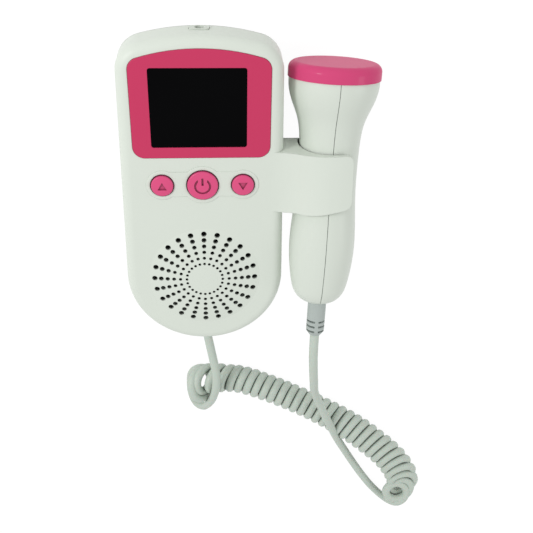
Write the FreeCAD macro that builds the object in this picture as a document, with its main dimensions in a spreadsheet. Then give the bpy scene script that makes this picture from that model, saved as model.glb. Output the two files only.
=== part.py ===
"""A home fetal doppler: a hand-held unit with its probe in a side clip and a curly cord.

Millimetres.  +Z is up out of the unit's face, +Y runs to its head and +X to its right,
where the probe sits.  The origin is the middle of the underside of the unit and probe.
The sizes below are measured from the middle of the speaker grille, on the face plane,
and every casing piece is then moved to the part's origin by one placement.  The probe's
pieces are built along their own axis, which leans in the clip.
"""
import FreeCAD, Part
import math
import os
import re

import Sketcher
from FreeCAD import Vector

# Each driving size is written once: name, value, what it is.
CASING = [
    ("half_width", 32.4, "middle to the side of the casing, where its foot begins"),
    ("side_lean", 0.9, "degrees that each side leans in to the head"),
    ("foot_drop", 0.8, "grille centre down to the middle of the round foot"),
    ("head_reach", 101.3, "grille centre to the top of the head"),
    ("head_radius", 88.0, "bow of the head"),
    ("corner_radius", 11.0, "corners of the head, in plan"),
    ("face_depth", 14.0, "face plane to the parting line"),
    ("back_depth", 20.0, "parting line to the back"),
    ("back_inset", 3.5, "how far the back's sides lie inside the parting line"),
    ("head_inset", 5.8, "how far the back's head lies inside the parting line"),
    ("face_round", 4.0, "rounding round the face"),
    ("back_round", 4.0, "rounding round the back"),
    ("wall", 2.2, "casing wall"),
    ("seam_gap", 0.25, "groove between the two shells"),
]
GRILLE = [
    ("dome_radius", 23.0, "foot of the grille's dome"),
    ("dome_rise", 2.0, "height of the dome over the face"),
    ("ring_first", 7.45, "radius of the inner ring of holes"),
    ("ring_step", 2.67, "from ring to ring"),
    ("spokes", 24.0, "holes in each ring"),
    ("hole_first", 0.57, "hole radius in the inner ring"),
    ("hole_growth", 0.11, "how much each ring's holes grow"),
]
DISPLAY = [
    ("bezel_half_width", 26.2, "middle to the side of the coloured plate"),
    ("bezel_foot", 54.5, "grille centre to the foot of the plate"),
    ("bezel_margin", 4.35, "head of the casing to the top of the plate"),
    ("bezel_bow", 79.0, "radius of the plate's top edge"),
    ("bezel_corner", 4.6, "corners of the plate"),
    ("bezel_plate", 1.5, "thickness of the plate"),
    ("bezel_proud", 0.3, "how far it stands over the face"),
    ("screen_left", 19.07, "middle to the window's left edge"),
    ("screen_right", 17.26, "middle to the window's right edge"),
    ("screen_foot", 58.86, "grille centre to the window's foot"),
    ("screen_margin", 6.98, "top of the plate to the window's head"),
    ("screen_corner", 1.0, "corners of the window"),
    ("window_plate", 1.3, "thickness of the window"),
    ("window_ledge", 1.4, "width of the ledge under the window"),
    ("snug", 0.1, "gap round a piece that is glued or pressed into a recess"),
    ("lcd_border", 1.0, "frame of the display module round the window"),
    ("lcd_plate", 3.6, "thickness of the display module"),
    ("ribbon_width", 16.0, "width of the display's flat cable"),
    ("ribbon_plate", 0.3, "thickness of the flat cable"),
    ("ribbon_drop", 1.6, "underside of the face to where the flat cable leaves the display"),
    ("ribbon_run", 2.0, "reach of each bend of the flat cable"),
]
BUTTONS = [
    ("button_row", 42.9, "grille centre to the row of buttons"),
    ("button_pitch", 15.75, "from button to button"),
    ("power_radius", 6.05, "radius of the middle button"),
    ("side_radius", 4.35, "radius of the side buttons"),
    ("button_rise", 1.6, "top of a button over the face"),
    ("button_round", 0.9, "rounding of a button's top"),
    ("button_gap", 0.3, "gap round a button in its hole"),
    ("button_flange", 1.1, "how far its flange reaches under the face"),
    ("flange_plate", 1.0, "thickness of the flange"),
    ("rest_gap", 0.15, "flange to the underside of the face"),
    ("button_travel", 0.7, "how far a button goes down"),
    ("stem_radius", 1.9, "radius of a button's stem"),
    ("switch_side", 6.0, "side of a push switch"),
    ("switch_body", 2.0, "height of a push switch without its plunger"),
    ("plunger_radius", 1.6, "radius of a switch's plunger"),
    ("plunger_rise", 0.8, "height of the plunger"),
    ("press_gap", 0.06, "stem to plunger with the button pressed down"),
]
BOARD = [
    ("board_depth", 8.0, "face plane to the top of the main board"),
    ("board_plate", 1.6, "thickness of the main board"),
    ("board_half_width", 28.2, "half the board's width"),
    ("board_foot", 27.5, "grille centre to the board's foot edge"),
    ("board_margin", 17.3, "head of the casing to the board's head edge"),
    ("board_post_x", 25.3, "middle to a board post"),
    ("board_post_foot", 32.0, "grille centre to the lower board posts"),
    ("board_post_margin", 4.5, "the board's head edge to the upper board posts"),
    ("board_post_radius", 2.2, "radius of a board post"),
    ("board_screw", 0.9, "radius of a board screw's shank"),
    ("board_screw_head", 1.9, "radius of a board screw's head"),
    ("board_screw_grip", 4.5, "how far a board screw goes into its post"),
    ("screw_clear", 0.2, "gap round a shank in a plain hole"),
    ("thread_fit", 0.03, "gap round a shank in its post"),
    ("screw_head_height", 1.2, "height of a board screw's head"),
    ("chip_side", 9.0, "side of the processor"),
    ("chip_plate", 1.0, "thickness of the processor"),
    ("chip_y", 68.0, "grille centre to the processor"),
]
SPEAKER = [
    ("speaker_radius", 22.4, "radius of the speaker's rim"),
    ("speaker_lip", 1.6, "width of the foam ring on the rim"),
    ("rim_seat", 1.4, "width of the cone's seat inside the foam ring"),
    ("gasket_plate", 1.0, "thickness of the foam ring"),
    ("basket_plate", 0.9, "sheet of the basket"),
    ("basket_depth", 8.5, "front of the rim to the back of the basket"),
    ("magnet_radius", 12.5, "radius of the magnet"),
    ("magnet_plate", 5.5, "thickness of the magnet"),
    ("cone_plate", 0.5, "thickness of the cone"),
    ("cone_depth", 5.3, "front of the rim to the cone's throat"),
    ("cone_throat", 6.5, "radius of the cone's throat"),
    ("dust_cap_rise", 1.0, "height of the cap in the cone's throat"),
]
BATTERY = [
    ("cell_radius", 7.25, "radius of a battery cell"),
    ("cell_length", 50.5, "length of a battery cell"),
    ("cell_gap", 0.3, "gap between the cells and to the bay"),
    ("bay_margin", 13.6, "head of the casing to the head of the battery bay"),
    ("bay_wall", 3.0, "wall of the battery bay, which the cover also sits on"),
    ("bay_roof", 1.4, "wall over the cells"),
    ("contact_room", 3.2, "room for a spring at one end of a cell"),
    ("contact_plate", 0.5, "thickness of a contact plate"),
    ("contact_half", 13.4, "half the width of a contact plate"),
    ("contact_height", 11.0, "height of a contact plate"),
    ("nub_radius", 2.7, "radius of a cell's positive end"),
    ("nub_height", 1.0, "height of a cell's positive end"),
    ("leaf_plate", 0.3, "thickness of a contact leaf"),
    ("leaf_width", 6.0, "width of a contact leaf"),
    ("leaf_half", 4.5, "half the height of a contact leaf"),
    ("leaf_crest", 1.0, "half the height of its crest"),
    ("cover_plate", 2.0, "thickness of the battery cover"),
    ("cover_border", 2.4, "how far the cover reaches past the bay"),
    ("cover_corner", 2.0, "corners of the cover"),
    ("cover_gap", 0.3, "gap round the cover"),
    ("cover_sink", 0.3, "cover's face inside the back's plane"),
    ("cover_rib", 1.2, "height of the rib inside the cover"),
]
FIXINGS = [
    ("post_radius", 2.6, "radius of a case post on the front shell"),
    ("post_swell", 0.8, "how much wider the rear shell's posts are"),
    ("head_post_x", 23.2, "middle to an upper case post"),
    ("head_post_margin", 13.8, "head of the casing to the upper case posts"),
    ("post_gap", 0.18, "speaker's rim to a lower case post"),
    ("case_screw", 1.25, "radius of a case screw's shank"),
    ("case_screw_head", 2.2, "radius of a case screw's head"),
    ("case_screw_sink", 3.0, "depth of its counterbore"),
    ("case_head_height", 1.9, "height of its head"),
    ("case_screw_grip", 7.0, "how far it goes into the front shell's post"),
    ("tip_room", 0.5, "room past the tip of a screw"),
    ("lip_rise", 0.8, "how far the rear shell's lip stands up past the parting line"),
    ("lip_plate", 1.0, "thickness of the lip"),
    ("lip_root", 3.2, "how far the lip reaches down the wall"),
]
SOCKETS = [
    ("jack_depth", 10.6, "face plane to the middle of the earphone socket"),
    ("jack_bore", 1.75, "radius of the socket's bore"),
    ("jack_reach", 14.0, "length of the socket's bore"),
    ("jack_width", 7.4, "width of the socket's nose"),
    ("jack_height", 4.6, "height of the socket's nose"),
    ("jack_corner", 1.4, "corners of the socket's nose"),
    ("jack_proud", 0.4, "how far the nose stands out of the head"),
    ("jack_gap", 0.3, "head wall to the socket's body"),
    ("jack_body_width", 9.0, "width of the socket's body"),
    ("jack_body_rise", 2.8, "middle of the bore to the top of the body"),
    ("jack_body_fall", 2.5, "middle of the bore to the bottom of the body"),
    ("jack_tail", 4.0, "how far the body reaches under the board"),
    ("cord_exit_depth", 20.0, "face plane to the cord where it leaves the unit"),
    ("wire_radius", 1.9, "radius of the cord"),
    ("grommet_neck", 2.9, "radius of the grommet in the wall"),
    ("grommet_boot", 3.3, "radius of the grommet outside"),
    ("grommet_tip", 2.5, "radius of the grommet's outer end"),
    ("grommet_out", 40.0, "grille centre down to the grommet's outer end"),
    ("grommet_shoulder", 33.1, "grille centre down to the grommet's shoulder"),
    ("grommet_seat", 28.8, "grille centre down to its flange inside"),
    ("grommet_flange", 4.4, "radius of the flange inside"),
    ("grommet_plate", 1.5, "thickness of the flange inside"),
]
HOLDER = [
    ("arm_root", 27.0, "middle to where the front arm leaves the face"),
    ("arm_crest", 49.0, "middle to the top of the front arm"),
    ("arm_tip", 58.4, "middle to the tips of the arms"),
    ("arm_drop", 1.2, "how much the front arm falls to its tip"),
    ("arm_head", 56.3, "grille centre to the arm's head side"),
    ("arm_foot", 30.6, "grille centre to the arm's foot side"),
    ("arm_taper", 5.2, "how much the foot side rises to the tip"),
    ("arm_plate", 2.0, "thickness of an arm over the probe"),
    ("arm_corner", 3.0, "corners of the tips"),
    ("rear_arm_head", 50.3, "grille centre to the rear arm's head side"),
    ("rear_arm_foot", 33.0, "grille centre to the rear arm's foot side"),
    ("clip_gap", 0.45, "gap round the probe's hip in the clip"),
]
PROBE = [
    ("clip_x", 49.95, "middle to the probe's axis, at the clip"),
    ("clip_y", 44.2, "grille centre to the clip's middle"),
    ("clip_depth", 8.0, "face plane to the probe's axis, at the clip"),
    ("probe_lean", 10.0, "degrees that the head of the probe leans to the back"),
    ("probe_turn", 2.3, "degrees that the head of the probe turns outwards"),
    ("mouth_at", 37.66, "clip to the mouth under the cap, along the axis"),
    ("mouth_radius", 17.6, ""),
    ("flare_at", 29.0, "clip to the flare"),
    ("flare_radius", 16.3, ""),
    ("throat_at", 22.0, "clip to the throat"),
    ("throat_radius", 13.55, ""),
    ("waist_at", 9.0, "clip to the waist"),
    ("waist_radius", 11.95, ""),
    ("hip_at", 10.0, "clip down to the hip"),
    ("hip_radius", 12.2, ""),
    ("belly_at", 31.0, "clip down to the belly"),
    ("belly_radius", 13.5, ""),
    ("heel_at", 46.5, "clip down to the heel"),
    ("heel_radius", 12.05, ""),
    ("toe_at", 52.4, "clip down to the toe"),
    ("toe_radius", 10.2, ""),
    ("rim_at", 54.7, "clip down to the rim of the end"),
    ("rim_radius", 8.2, ""),
    ("end_at", 56.0, "clip down to the flat end"),
    ("end_radius", 5.2, ""),
    ("probe_wall", 2.0, "wall of the probe's shells"),
    ("probe_seam", 0.1, "half the groove between the probe's shells"),
    ("spigot_height", 2.8, "height of the spigot inside the cap"),
    ("spigot_wall", 1.6, "wall of the spigot"),
    ("cap_radius", 18.1, "radius of the cap"),
    ("cap_height", 5.9, "height of the cap"),
    ("cap_round", 2.9, "rounding of the cap's edge"),
    ("cap_wall", 1.9, "side wall of the cap"),
    ("cap_face", 1.5, "end wall of the cap"),
    ("press_fit", 0.05, "gap round the spigot in the cap"),
    ("crystal_radius", 12.0, "radius of the pair of crystals"),
    ("crystal_plate", 0.8, "thickness of a crystal"),
    ("crystal_split", 0.6, "gap between the crystals"),
    ("carrier_plate", 1.2, "thickness of the crystals' carrier"),
    ("carrier_gap", 0.1, "gap round the carrier in the spigot"),
    ("probe_board_width", 19.2, "width of the probe's board"),
    ("probe_board_head", 27.0, "clip to the board's head"),
    ("probe_board_tail", 38.0, "clip down to the board's tail"),
    ("probe_board_plate", 1.2, "thickness of the probe's board"),
    ("lead_radius", 0.6, "radius of a crystal's lead"),
    ("lead_spread", 4.0, "axis to a lead"),
    ("header_width", 8.0, "width of the cable's header"),
    ("header_height", 4.0, "height of the cable's header"),
    ("header_length", 6.0, "length of the cable's header"),
    ("header_at", 37.0, "clip down to the header's tail"),
    ("relief_radius", 3.9, "radius of the strain relief outside"),
    ("relief_tip", 2.4, "radius of its tip"),
    ("relief_nose", 2.1, "length of its tapered end"),
    ("relief_neck", 3.1, "radius of its neck in the shells"),
    ("relief_flange", 4.4, "radius of its flange inside"),
    ("relief_plate", 1.2, "thickness of its flange inside"),
    ("relief_seat", 1.2, "inside of the shells' end to the flange"),
    ("relief_length", 16.8, "length of the strain relief outside"),
    ("relief_gap", 0.1, "shells to the strain relief's shoulders"),
    ("slot_first", 9.75, "shells to the first slot"),
    ("slot_step", 2.3, "from slot to slot"),
    ("slot_count", 3.0, "slots on each side"),
    ("slot_width", 0.9, "width of a slot"),
    ("slot_spine", 0.75, "half the width of the spine between slots"),
]
CORD = [
    ("coil_radius", 6.8, "outer radius of the coiled cord"),
]

# The cord's routes: x and y as above, and the height of its middle over the table.
COIL_ROUTE = [
    (-2.8, -82.0, 6.8), (1.8, -79.0, 6.8), (8.3, -76.2, 6.8), (19.8, -78.6, 6.8),
    (32.5, -84.4, 6.8), (44.9, -91.2, 6.8), (58.8, -100.2, 6.8), (72.0, -109.8, 6.8),
    (84.0, -120.2, 6.8), (96.1, -133.2, 6.8), (103.6, -145.4, 6.8), (107.2, -155.0, 6.8),
    (108.4, -160.6, 6.8),
]
UNIT_TAIL_ROUTE = [
    (0.0, -40.0, 14.0), (0.0, -47.5, 14.0), (1.4, -55.5, 14.5), (2.7, -63.5, 15.6),
    (4.0, -72.5, 16.8), (5.1, -84.5, 16.8), (5.8, -94.2, 11.0), (1.1, -99.0, 5.5),
    (-5.1, -98.2, 3.0), (-9.3, -92.6, 4.4), (-7.86, -85.3, 6.8), (-2.8, -82.0, 6.8),
]
PROBE_TAIL_ROUTE = [
    (47.069, -27.534, 38.659), (46.713, -36.39, 40.222), (47.6, -49.0, 39.0),
    (49.2, -60.0, 34.5), (51.0, -70.5, 28.5), (53.4, -81.5, 22.0), (56.4, -94.0, 17.4),
    (60.4, -107.5, 17.0), (64.6, -117.5, 10.4), (69.0, -127.5, 4.2), (74.2, -138.0, 1.9),
    (82.9, -151.8, 1.9), (91.4, -166.4, 1.9), (97.2, -174.6, 1.9), (101.6, -176.6, 1.9),
    (106.2, -175.2, 2.4), (109.6, -171.4, 4.2), (109.516, -165.808, 6.8), (108.4, -160.6, 6.8),
]

# Worked out from the sizes above, as the sheet's own formulas.
DERIVED = [
    ("cap_end", "mouth_at + cap_height"),
    ("lean_x", "sin(probe_turn) * cos(probe_lean)"),
    ("cap_edge", "(cap_radius - cap_round) * sqrt(1 - lean_x^2) + cap_round"),
    ("cap_reach", "clip_x + (cap_end - cap_round) * lean_x + cap_edge"),
    ("foot_reach", "foot_drop + half_width"),
    ("origin_x", "(cap_reach - half_width) / 2"),
    ("origin_y", "(head_reach + jack_proud - foot_reach) / 2"),
    ("body_depth", "face_depth + back_depth"),
    ("clip_bore", "hip_radius + clip_gap"),
    ("bore_rise", "clip_bore / cos(probe_lean)"),
    ("dome_sphere", "(dome_radius^2 + dome_rise^2) / (2 * dome_rise)"),
    ("speaker_mouth", "speaker_radius - speaker_lip"),
    ("under_sphere", "(speaker_mouth^2 + dome_rise^2) / (2 * dome_rise)"),
    ("bezel_seat", "bezel_plate - bezel_proud"),
    ("bezel_head", "head_reach - bezel_margin"),
    ("screen_head", "bezel_head - screen_margin"),
    ("board_head", "head_reach - board_margin"),
    ("board_post_head", "board_head - board_post_margin"),
    ("head_post_y", "head_reach - head_post_margin"),
    ("foot_post", "(speaker_radius + post_gap + post_radius) * sqrt(0.5)"),
    ("stem_foot", "board_depth - switch_body - plunger_rise - press_gap - button_travel"),
    ("board_back", "board_depth + board_plate"),
    ("bay_half", "2*cell_radius + 3*cell_gap/2"),
    ("bay_length", "cell_length + contact_room + contact_plate"),
    ("bay_foot", "head_reach - bay_margin - bay_length"),
    ("cover_seat", "body_depth - cover_sink - cover_plate"),
    ("cell_depth", "cover_seat - cover_rib - cell_gap - cell_radius"),
    ("bay_ceiling", "cell_depth - cell_radius - cell_gap"),
    ("screw_seat", "body_depth - case_screw_sink"),
    ("basket_front", "wall + gasket_plate"),
    ("basket_back", "basket_front + basket_depth"),
    ("spigot_radius", "cap_radius - cap_wall - press_fit"),
    ("crystal_foot", "cap_end - cap_face - crystal_plate"),
    ("carrier_foot", "crystal_foot - carrier_plate"),
    ("relief_start", "end_at + relief_gap"),
    ("relief_end", "end_at + relief_length"),
]

doc = FreeCAD.newDocument("fetal_doppler")
sizes = doc.addObject("Spreadsheet::Sheet", "Sizes")
aliases = set()
solids = []


def fill_sheet():
    """Write the driving sizes, then the formulas, one row each."""
    row = 0
    for group in (CASING, GRILLE, DISPLAY, BUTTONS, BOARD, SPEAKER, BATTERY, FIXINGS, SOCKETS,
                  HOLDER, PROBE, CORD):
        for name, number, note in group:
            row += 1
            add_row(row, name, str(number), note)
    for name, formula in DERIVED:
        row += 1
        add_row(row, name, "=" + formula, "worked out")
    doc.recompute()


def add_row(row, name, content, note):
    sizes.set("A%d" % row, name)
    sizes.set("B%d" % row, content)
    sizes.set("C%d" % row, note)
    sizes.setAlias("B%d" % row, name)
    aliases.add(name)


def bound(text):
    """An expression for other objects, with each alias named through the sheet."""
    def named(match):
        word = match.group(0)
        return "Sizes." + word if word in aliases else word
    return re.sub(r"[A-Za-z_][A-Za-z_0-9]*", named, str(text))


def value(text):
    """The number that an expression gives now."""
    return float(sizes.evalExpression(str(text)))


def bind(thing, prop, text):
    thing.setExpression(prop, bound(text))


def placement_text(x, y, z, yaw="0", pitch="0", roll="0"):
    spots = "vector(%s; %s; %s)" % (x, y, z)
    turns = "rotation(%s; %s; %s)" % (yaw, pitch, roll)
    return "placement(%s; %s)" % (spots, turns)


CASING_FRAME = placement_text("-origin_x", "-origin_y", "body_depth")
PROBE_FRAME = placement_text("clip_x - origin_x", "clip_y - origin_y", "body_depth - clip_depth",
                             "-probe_turn", "0", "-probe_lean")


def frame_placement(text):
    """The same placement as an expression gives, as a value."""
    holder = doc.addObject("Part::Feature", "Frame")
    bind(holder, "Placement", text)
    doc.recompute()
    found = FreeCAD.Placement(holder.Placement)
    doc.removeObject(holder.Name)
    return found


def piece(name, frame=CASING_FRAME):
    """A new body for one sub-part, placed in the casing's or the probe's frame."""
    body = doc.addObject("PartDesign::Body", name)
    body.Label = name
    body.AllowCompound = True
    bind(body, "Placement", frame)
    solids.append(body)
    return body


def made(name, shape, placement):
    """A sub-part whose shape comes from Part's own functions."""
    thing = doc.addObject("Part::Feature", name)
    thing.Label = name
    thing.Shape = shape
    thing.Placement = placement
    solids.append(thing)
    return thing


AXIS_TURN = {"z": ("0", "0", "0"), "y": ("0", "0", "-90"), "x": ("0", "90", "0")}


def cylinder(body, name, spot, radius, height, axis="z", cut=False):
    """A cylinder from its first end's middle, along one of the body's own axes."""
    kind = "PartDesign::SubtractiveCylinder" if cut else "PartDesign::AdditiveCylinder"
    thing = body.newObject(kind, name)
    bind(thing, "Radius", radius)
    bind(thing, "Height", height)
    bind(thing, "Placement", placement_text(*spot, *AXIS_TURN[axis]))
    return thing


def cone(body, name, spot, radius_a, radius_b, height, axis="z", cut=False):
    kind = "PartDesign::SubtractiveCone" if cut else "PartDesign::AdditiveCone"
    thing = body.newObject(kind, name)
    bind(thing, "Radius1", radius_a)
    bind(thing, "Radius2", radius_b)
    bind(thing, "Height", height)
    bind(thing, "Placement", placement_text(*spot, *AXIS_TURN[axis]))
    return thing


def box(body, name, corner, spans, cut=False):
    """A box from its lowest corner."""
    kind = "PartDesign::SubtractiveBox" if cut else "PartDesign::AdditiveBox"
    thing = body.newObject(kind, name)
    for prop, span in zip(("Length", "Width", "Height"), spans):
        bind(thing, prop, span)
    bind(thing, "Placement", placement_text(*corner))
    return thing


def centred_box(body, name, x, y, z, wide, tall, high, cut=False):
    """A box centred on x and y, standing on z."""
    corner = ("%s - (%s)/2" % (x, wide), "%s - (%s)/2" % (y, tall), z)
    return box(body, name, corner, (wide, tall, high), cut)


def sketch(body, name, plane, offset, outline):
    """A closed outline on one of the body's own planes.

    Each point is (x, y) for a straight edge to the next point, or (x, y, cx, cy, turn)
    for an arc about cx, cy that turns +1 anticlockwise or -1 clockwise.
    """
    drawing = body.newObject("Sketcher::SketchObject", name)
    origin_plane = [f for f in body.Origin.OriginFeatures if f.Role == plane][0]
    drawing.AttachmentSupport = [(origin_plane, "")]
    drawing.MapMode = "FlatFace"
    bind(drawing, "AttachmentOffset.Base.z", offset)
    points = [(value(p[0]), value(p[1])) for p in outline]
    starts = []
    for index, corner in enumerate(outline):
        here = Vector(*points[index])
        there = Vector(*points[(index + 1) % len(points)])
        starts.append(add_edge(drawing, index, corner, here, there))
    ends = [3 - start for start in starts]
    for index, corner in enumerate(outline):
        following = (index + 1) % len(outline)
        drawing.addConstraint(Sketcher.Constraint("Coincident", index, ends[index],
                                                  following, starts[following]))
        pin(drawing, "DistanceX", index, starts[index], corner[0])
        pin(drawing, "DistanceY", index, starts[index], corner[1])
        if len(corner) == 5:
            pin_centre(drawing, index, corner, points[index], points[following])
    return drawing


def add_edge(drawing, index, corner, here, there):
    """Add one edge and say which of its ends, 1 or 2, lies at its first point."""
    if len(corner) == 2:
        drawing.addGeometry(Part.LineSegment(here, there), False)
        return 1
    centre = Vector(value(corner[2]), value(corner[3]))
    circle = Part.Circle(centre, Vector(0, 0, 1), here.distanceToPoint(centre))
    first, last = (here, there) if corner[4] > 0 else (there, here)
    start = math.atan2(first.y - centre.y, first.x - centre.x)
    stop = math.atan2(last.y - centre.y, last.x - centre.x)
    if stop <= start:
        stop += 2 * math.pi
    drawing.addGeometry(Part.ArcOfCircle(circle, start, stop), False)
    return 1 if corner[4] > 0 else 2


def pin(drawing, kind, index, point, text):
    place = drawing.addConstraint(Sketcher.Constraint(kind, -1, 1, index, point, value(text)))
    drawing.setExpression("Constraints[%d]" % place, bound(text))


def pin_centre(drawing, index, corner, here, there):
    """Fix the arc's centre along the line on which its two ends still let it slide."""
    runs_across = abs(there[0] - here[0]) >= abs(there[1] - here[1])
    if runs_across:
        pin(drawing, "DistanceY", index, 3, corner[3])
    else:
        pin(drawing, "DistanceX", index, 3, corner[2])


def feature(body, kind, name, profile, **settings):
    thing = body.newObject("PartDesign::" + kind, name)
    thing.Profile = profile
    for prop, setting in settings.items():
        if isinstance(setting, str):
            bind(thing, prop, setting)
        else:
            setattr(thing, prop, setting)
    return thing


def revolve(body, name, profile, cut=False):
    """Turn an XZ or XY outline once about its own vertical axis."""
    kind = "Groove" if cut else "Revolution"
    thing = feature(body, kind, name, profile, Angle=360.0)
    thing.ReferenceAxis = (profile, ["V_Axis"])
    return thing


def round_edges(body, name, radius, chosen):
    """Fillet the edges of the tip for which chosen(edge) is true."""
    doc.recompute()
    tip = body.Tip
    names = ["Edge%d" % (i + 1) for i, edge in enumerate(tip.Shape.Edges) if chosen(edge)]
    thing = body.newObject("PartDesign::Fillet", name)
    thing.Base = (tip, names)
    bind(thing, "Radius", radius)
    return thing


def lies_at(edge, height):
    """Whether the whole edge lies on one height of the body's own frame."""
    box_of = edge.BoundBox
    return abs(box_of.ZMin - height) < 1e-4 and abs(box_of.ZMax - height) < 1e-4


def arched_outline(half, head, bow, corner, foot_corners):
    """An outline with a bowed head and rounded head corners, tangent all round.

    foot_corners(half) gives the points from the left side's foot to the right side's.
    """
    bow_centre = "(%s - %s)" % (head, bow)
    reach = "(%s - %s)" % (bow, corner)
    corner_x = "(%s - %s)" % (half, corner)
    rise = "sqrt((%s)^2 - (%s)^2)" % (reach, corner_x)
    corner_y = "(%s + %s)" % (bow_centre, rise)
    touch_x = "(%s * (%s) / %s)" % (corner_x, bow, reach)
    touch_y = "(%s + %s * (%s) / %s)" % (bow_centre, rise, bow, reach)
    return [
        (half, corner_y, corner_x, corner_y, 1),
        (touch_x, touch_y, "0", bow_centre, 1),
        ("-" + touch_x, touch_y, "-" + corner_x, corner_y, 1),
        ("-(%s)" % half, corner_y),
    ] + foot_corners(half)


def casing_outline(inset="0", head_inset=None):
    """The unit in plan: sides that lean in to a bowed head, and a half-round foot."""
    side = "(half_width - (%s))" % inset
    head = "(head_reach - (%s))" % (head_inset or inset)
    bow = "(head_radius - (%s))" % inset
    corner = "(corner_radius - (%s))" % inset
    side_x = "(%s * cos(side_lean))" % side
    side_y = "(%s * sin(side_lean) - foot_drop)" % side
    core = "(half_width - corner_radius)"
    arch = "(%s - %s + foot_drop)" % (head, bow)
    reach = "(head_radius - corner_radius)"
    along = "(%s * cos(side_lean))" % arch
    square = "(%s^2 - %s^2 - (%s)^2 + 2*%s*%s*sin(side_lean))" % (reach, core, arch, arch, core)
    climb = "(%s + sqrt(%s^2 + %s))" % (along, along, square)
    corner_x = "(%s * cos(side_lean) - %s * sin(side_lean))" % (core, climb)
    corner_y = "(%s * sin(side_lean) + %s * cos(side_lean) - foot_drop)" % (core, climb)
    bow_y = "(%s - %s)" % (head, bow)
    head_x = "(%s * %s / %s)" % (corner_x, bow, reach)
    head_y = "(%s + (%s - %s) * %s / %s)" % (bow_y, corner_y, bow_y, bow, reach)
    shoulder_x = "(%s + %s * cos(side_lean))" % (corner_x, corner)
    shoulder_y = "(%s + %s * sin(side_lean))" % (corner_y, corner)
    return [
        (shoulder_x, shoulder_y, corner_x, corner_y, 1),
        (head_x, head_y, "0", bow_y, 1),
        ("-" + head_x, head_y, "-" + corner_x, corner_y, 1),
        ("-" + shoulder_x, shoulder_y),
        ("-" + side_x, side_y, "0", "-foot_drop", 1),
        (side_x, side_y),
    ]


def bezel_outline(grow="0"):
    """The coloured plate in plan."""
    half = "(bezel_half_width + %s)" % grow
    foot = "(bezel_foot - %s)" % grow
    corner = "(bezel_corner + %s)" % grow

    def rounded_foot(side):
        inner = "(%s - %s)" % (side, corner)
        raised = "(%s + %s)" % (foot, corner)
        return [("-" + side, raised, "-" + inner, raised, 1), ("-" + inner, foot),
                (inner, foot, inner, raised, 1), (side, raised)]

    return arched_outline(half, "(bezel_head + %s)" % grow, "(bezel_bow + %s)" % grow, corner,
                          rounded_foot)


def rounded_rectangle(left, right, foot, head, corner):
    """left, right, foot and head are the places of the four sides."""
    inner_left = "(%s + %s)" % (left, corner)
    inner_right = "(%s - %s)" % (right, corner)
    inner_foot = "(%s + %s)" % (foot, corner)
    inner_head = "(%s - %s)" % (head, corner)
    return [
        (inner_left, foot), (inner_right, foot, inner_right, inner_foot, 1),
        (right, inner_foot), (right, inner_head, inner_right, inner_head, 1),
        (inner_right, head), (inner_left, head, inner_left, inner_head, 1),
        (left, inner_head), (left, inner_foot, inner_left, inner_foot, 1),
    ]


def window_outline(grow):
    return rounded_rectangle("(-screen_left - (%s))" % grow, "(screen_right + %s)" % grow,
                             "(screen_foot - (%s))" % grow, "(screen_head + %s)" % grow,
                             "screen_corner")


BUTTONS_AT = (("up", "-button_pitch", "side_radius"),
              ("power", "0", "power_radius"),
              ("down", "button_pitch", "side_radius"))
BOARD_POSTS = [(sign + "board_post_x", y) for sign in ("-", "")
               for y in ("board_post_foot", "board_post_head")]
CASE_POSTS = [(sign + x, y) for sign in ("-", "")
              for x, y in (("head_post_x", "head_post_y"), ("foot_post", "-foot_post"))]


def bore_edge(y, side):
    """Height of the clip's bore, over (+1) or under (-1) the probe, at one y."""
    fall = "(%s - clip_y) * tan(probe_lean)" % y
    return "(-clip_depth - %s + %d*bore_rise)" % (fall, side)


def cut_channel(body):
    """Clear the probe's way through the clip: a bore round its axis, open to the right."""
    reach = "8*clip_bore"
    axis = placement_text("clip_x", "clip_y", "-clip_depth", "-probe_turn", "0", "-probe_lean")
    bore = body.newObject("PartDesign::SubtractiveCylinder", "clip_bore_cut")
    bind(bore, "Radius", "clip_bore")
    bind(bore, "Height", reach)
    bind(bore, "Placement", axis + " * " + placement_text("0", "-(%s)/2" % reach, "0",
                                                          *AXIS_TURN["y"]))
    way = body.newObject("PartDesign::SubtractiveBox", "clip_way_cut")
    bind(way, "Length", reach)
    bind(way, "Width", reach)
    bind(way, "Height", "2*clip_bore")
    bind(way, "Placement", axis + " * " + placement_text("0", "-(%s)/2" % reach, "-clip_bore"))


def arm_profile(rise):
    """The front arm seen from the head: an S from the face up over the probe, then its tip."""
    span = "(arm_crest - arm_root)"
    bend = "((%s^2 + (%s)^2) / (4 * (%s)))" % (span, rise, rise)
    tip_bend = "(((arm_tip - arm_crest)^2 + arm_drop^2) / (2 * arm_drop))"
    return [
        ("arm_root", "-face_depth"),
        ("arm_tip", "-face_depth"),
        ("arm_tip", "%s - arm_drop" % rise, "arm_crest", "%s - %s" % (rise, tip_bend), 1),
        ("arm_crest", rise, "arm_crest", "%s - %s" % (rise, bend), 1),
        ("(arm_crest + arm_root)/2", "(%s)/2" % rise, "arm_root", bend, -1),
        ("arm_root", "0"),
    ]


def is_arm_corner(edge):
    """The upright edges at an arm's tip."""
    span = edge.BoundBox
    at_tip = abs(span.XMin - value("arm_tip")) < 1e-3 and abs(span.XMax - value("arm_tip")) < 1e-3
    return at_tip and span.ZLength > 2.0 and span.YLength < 1e-3


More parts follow.
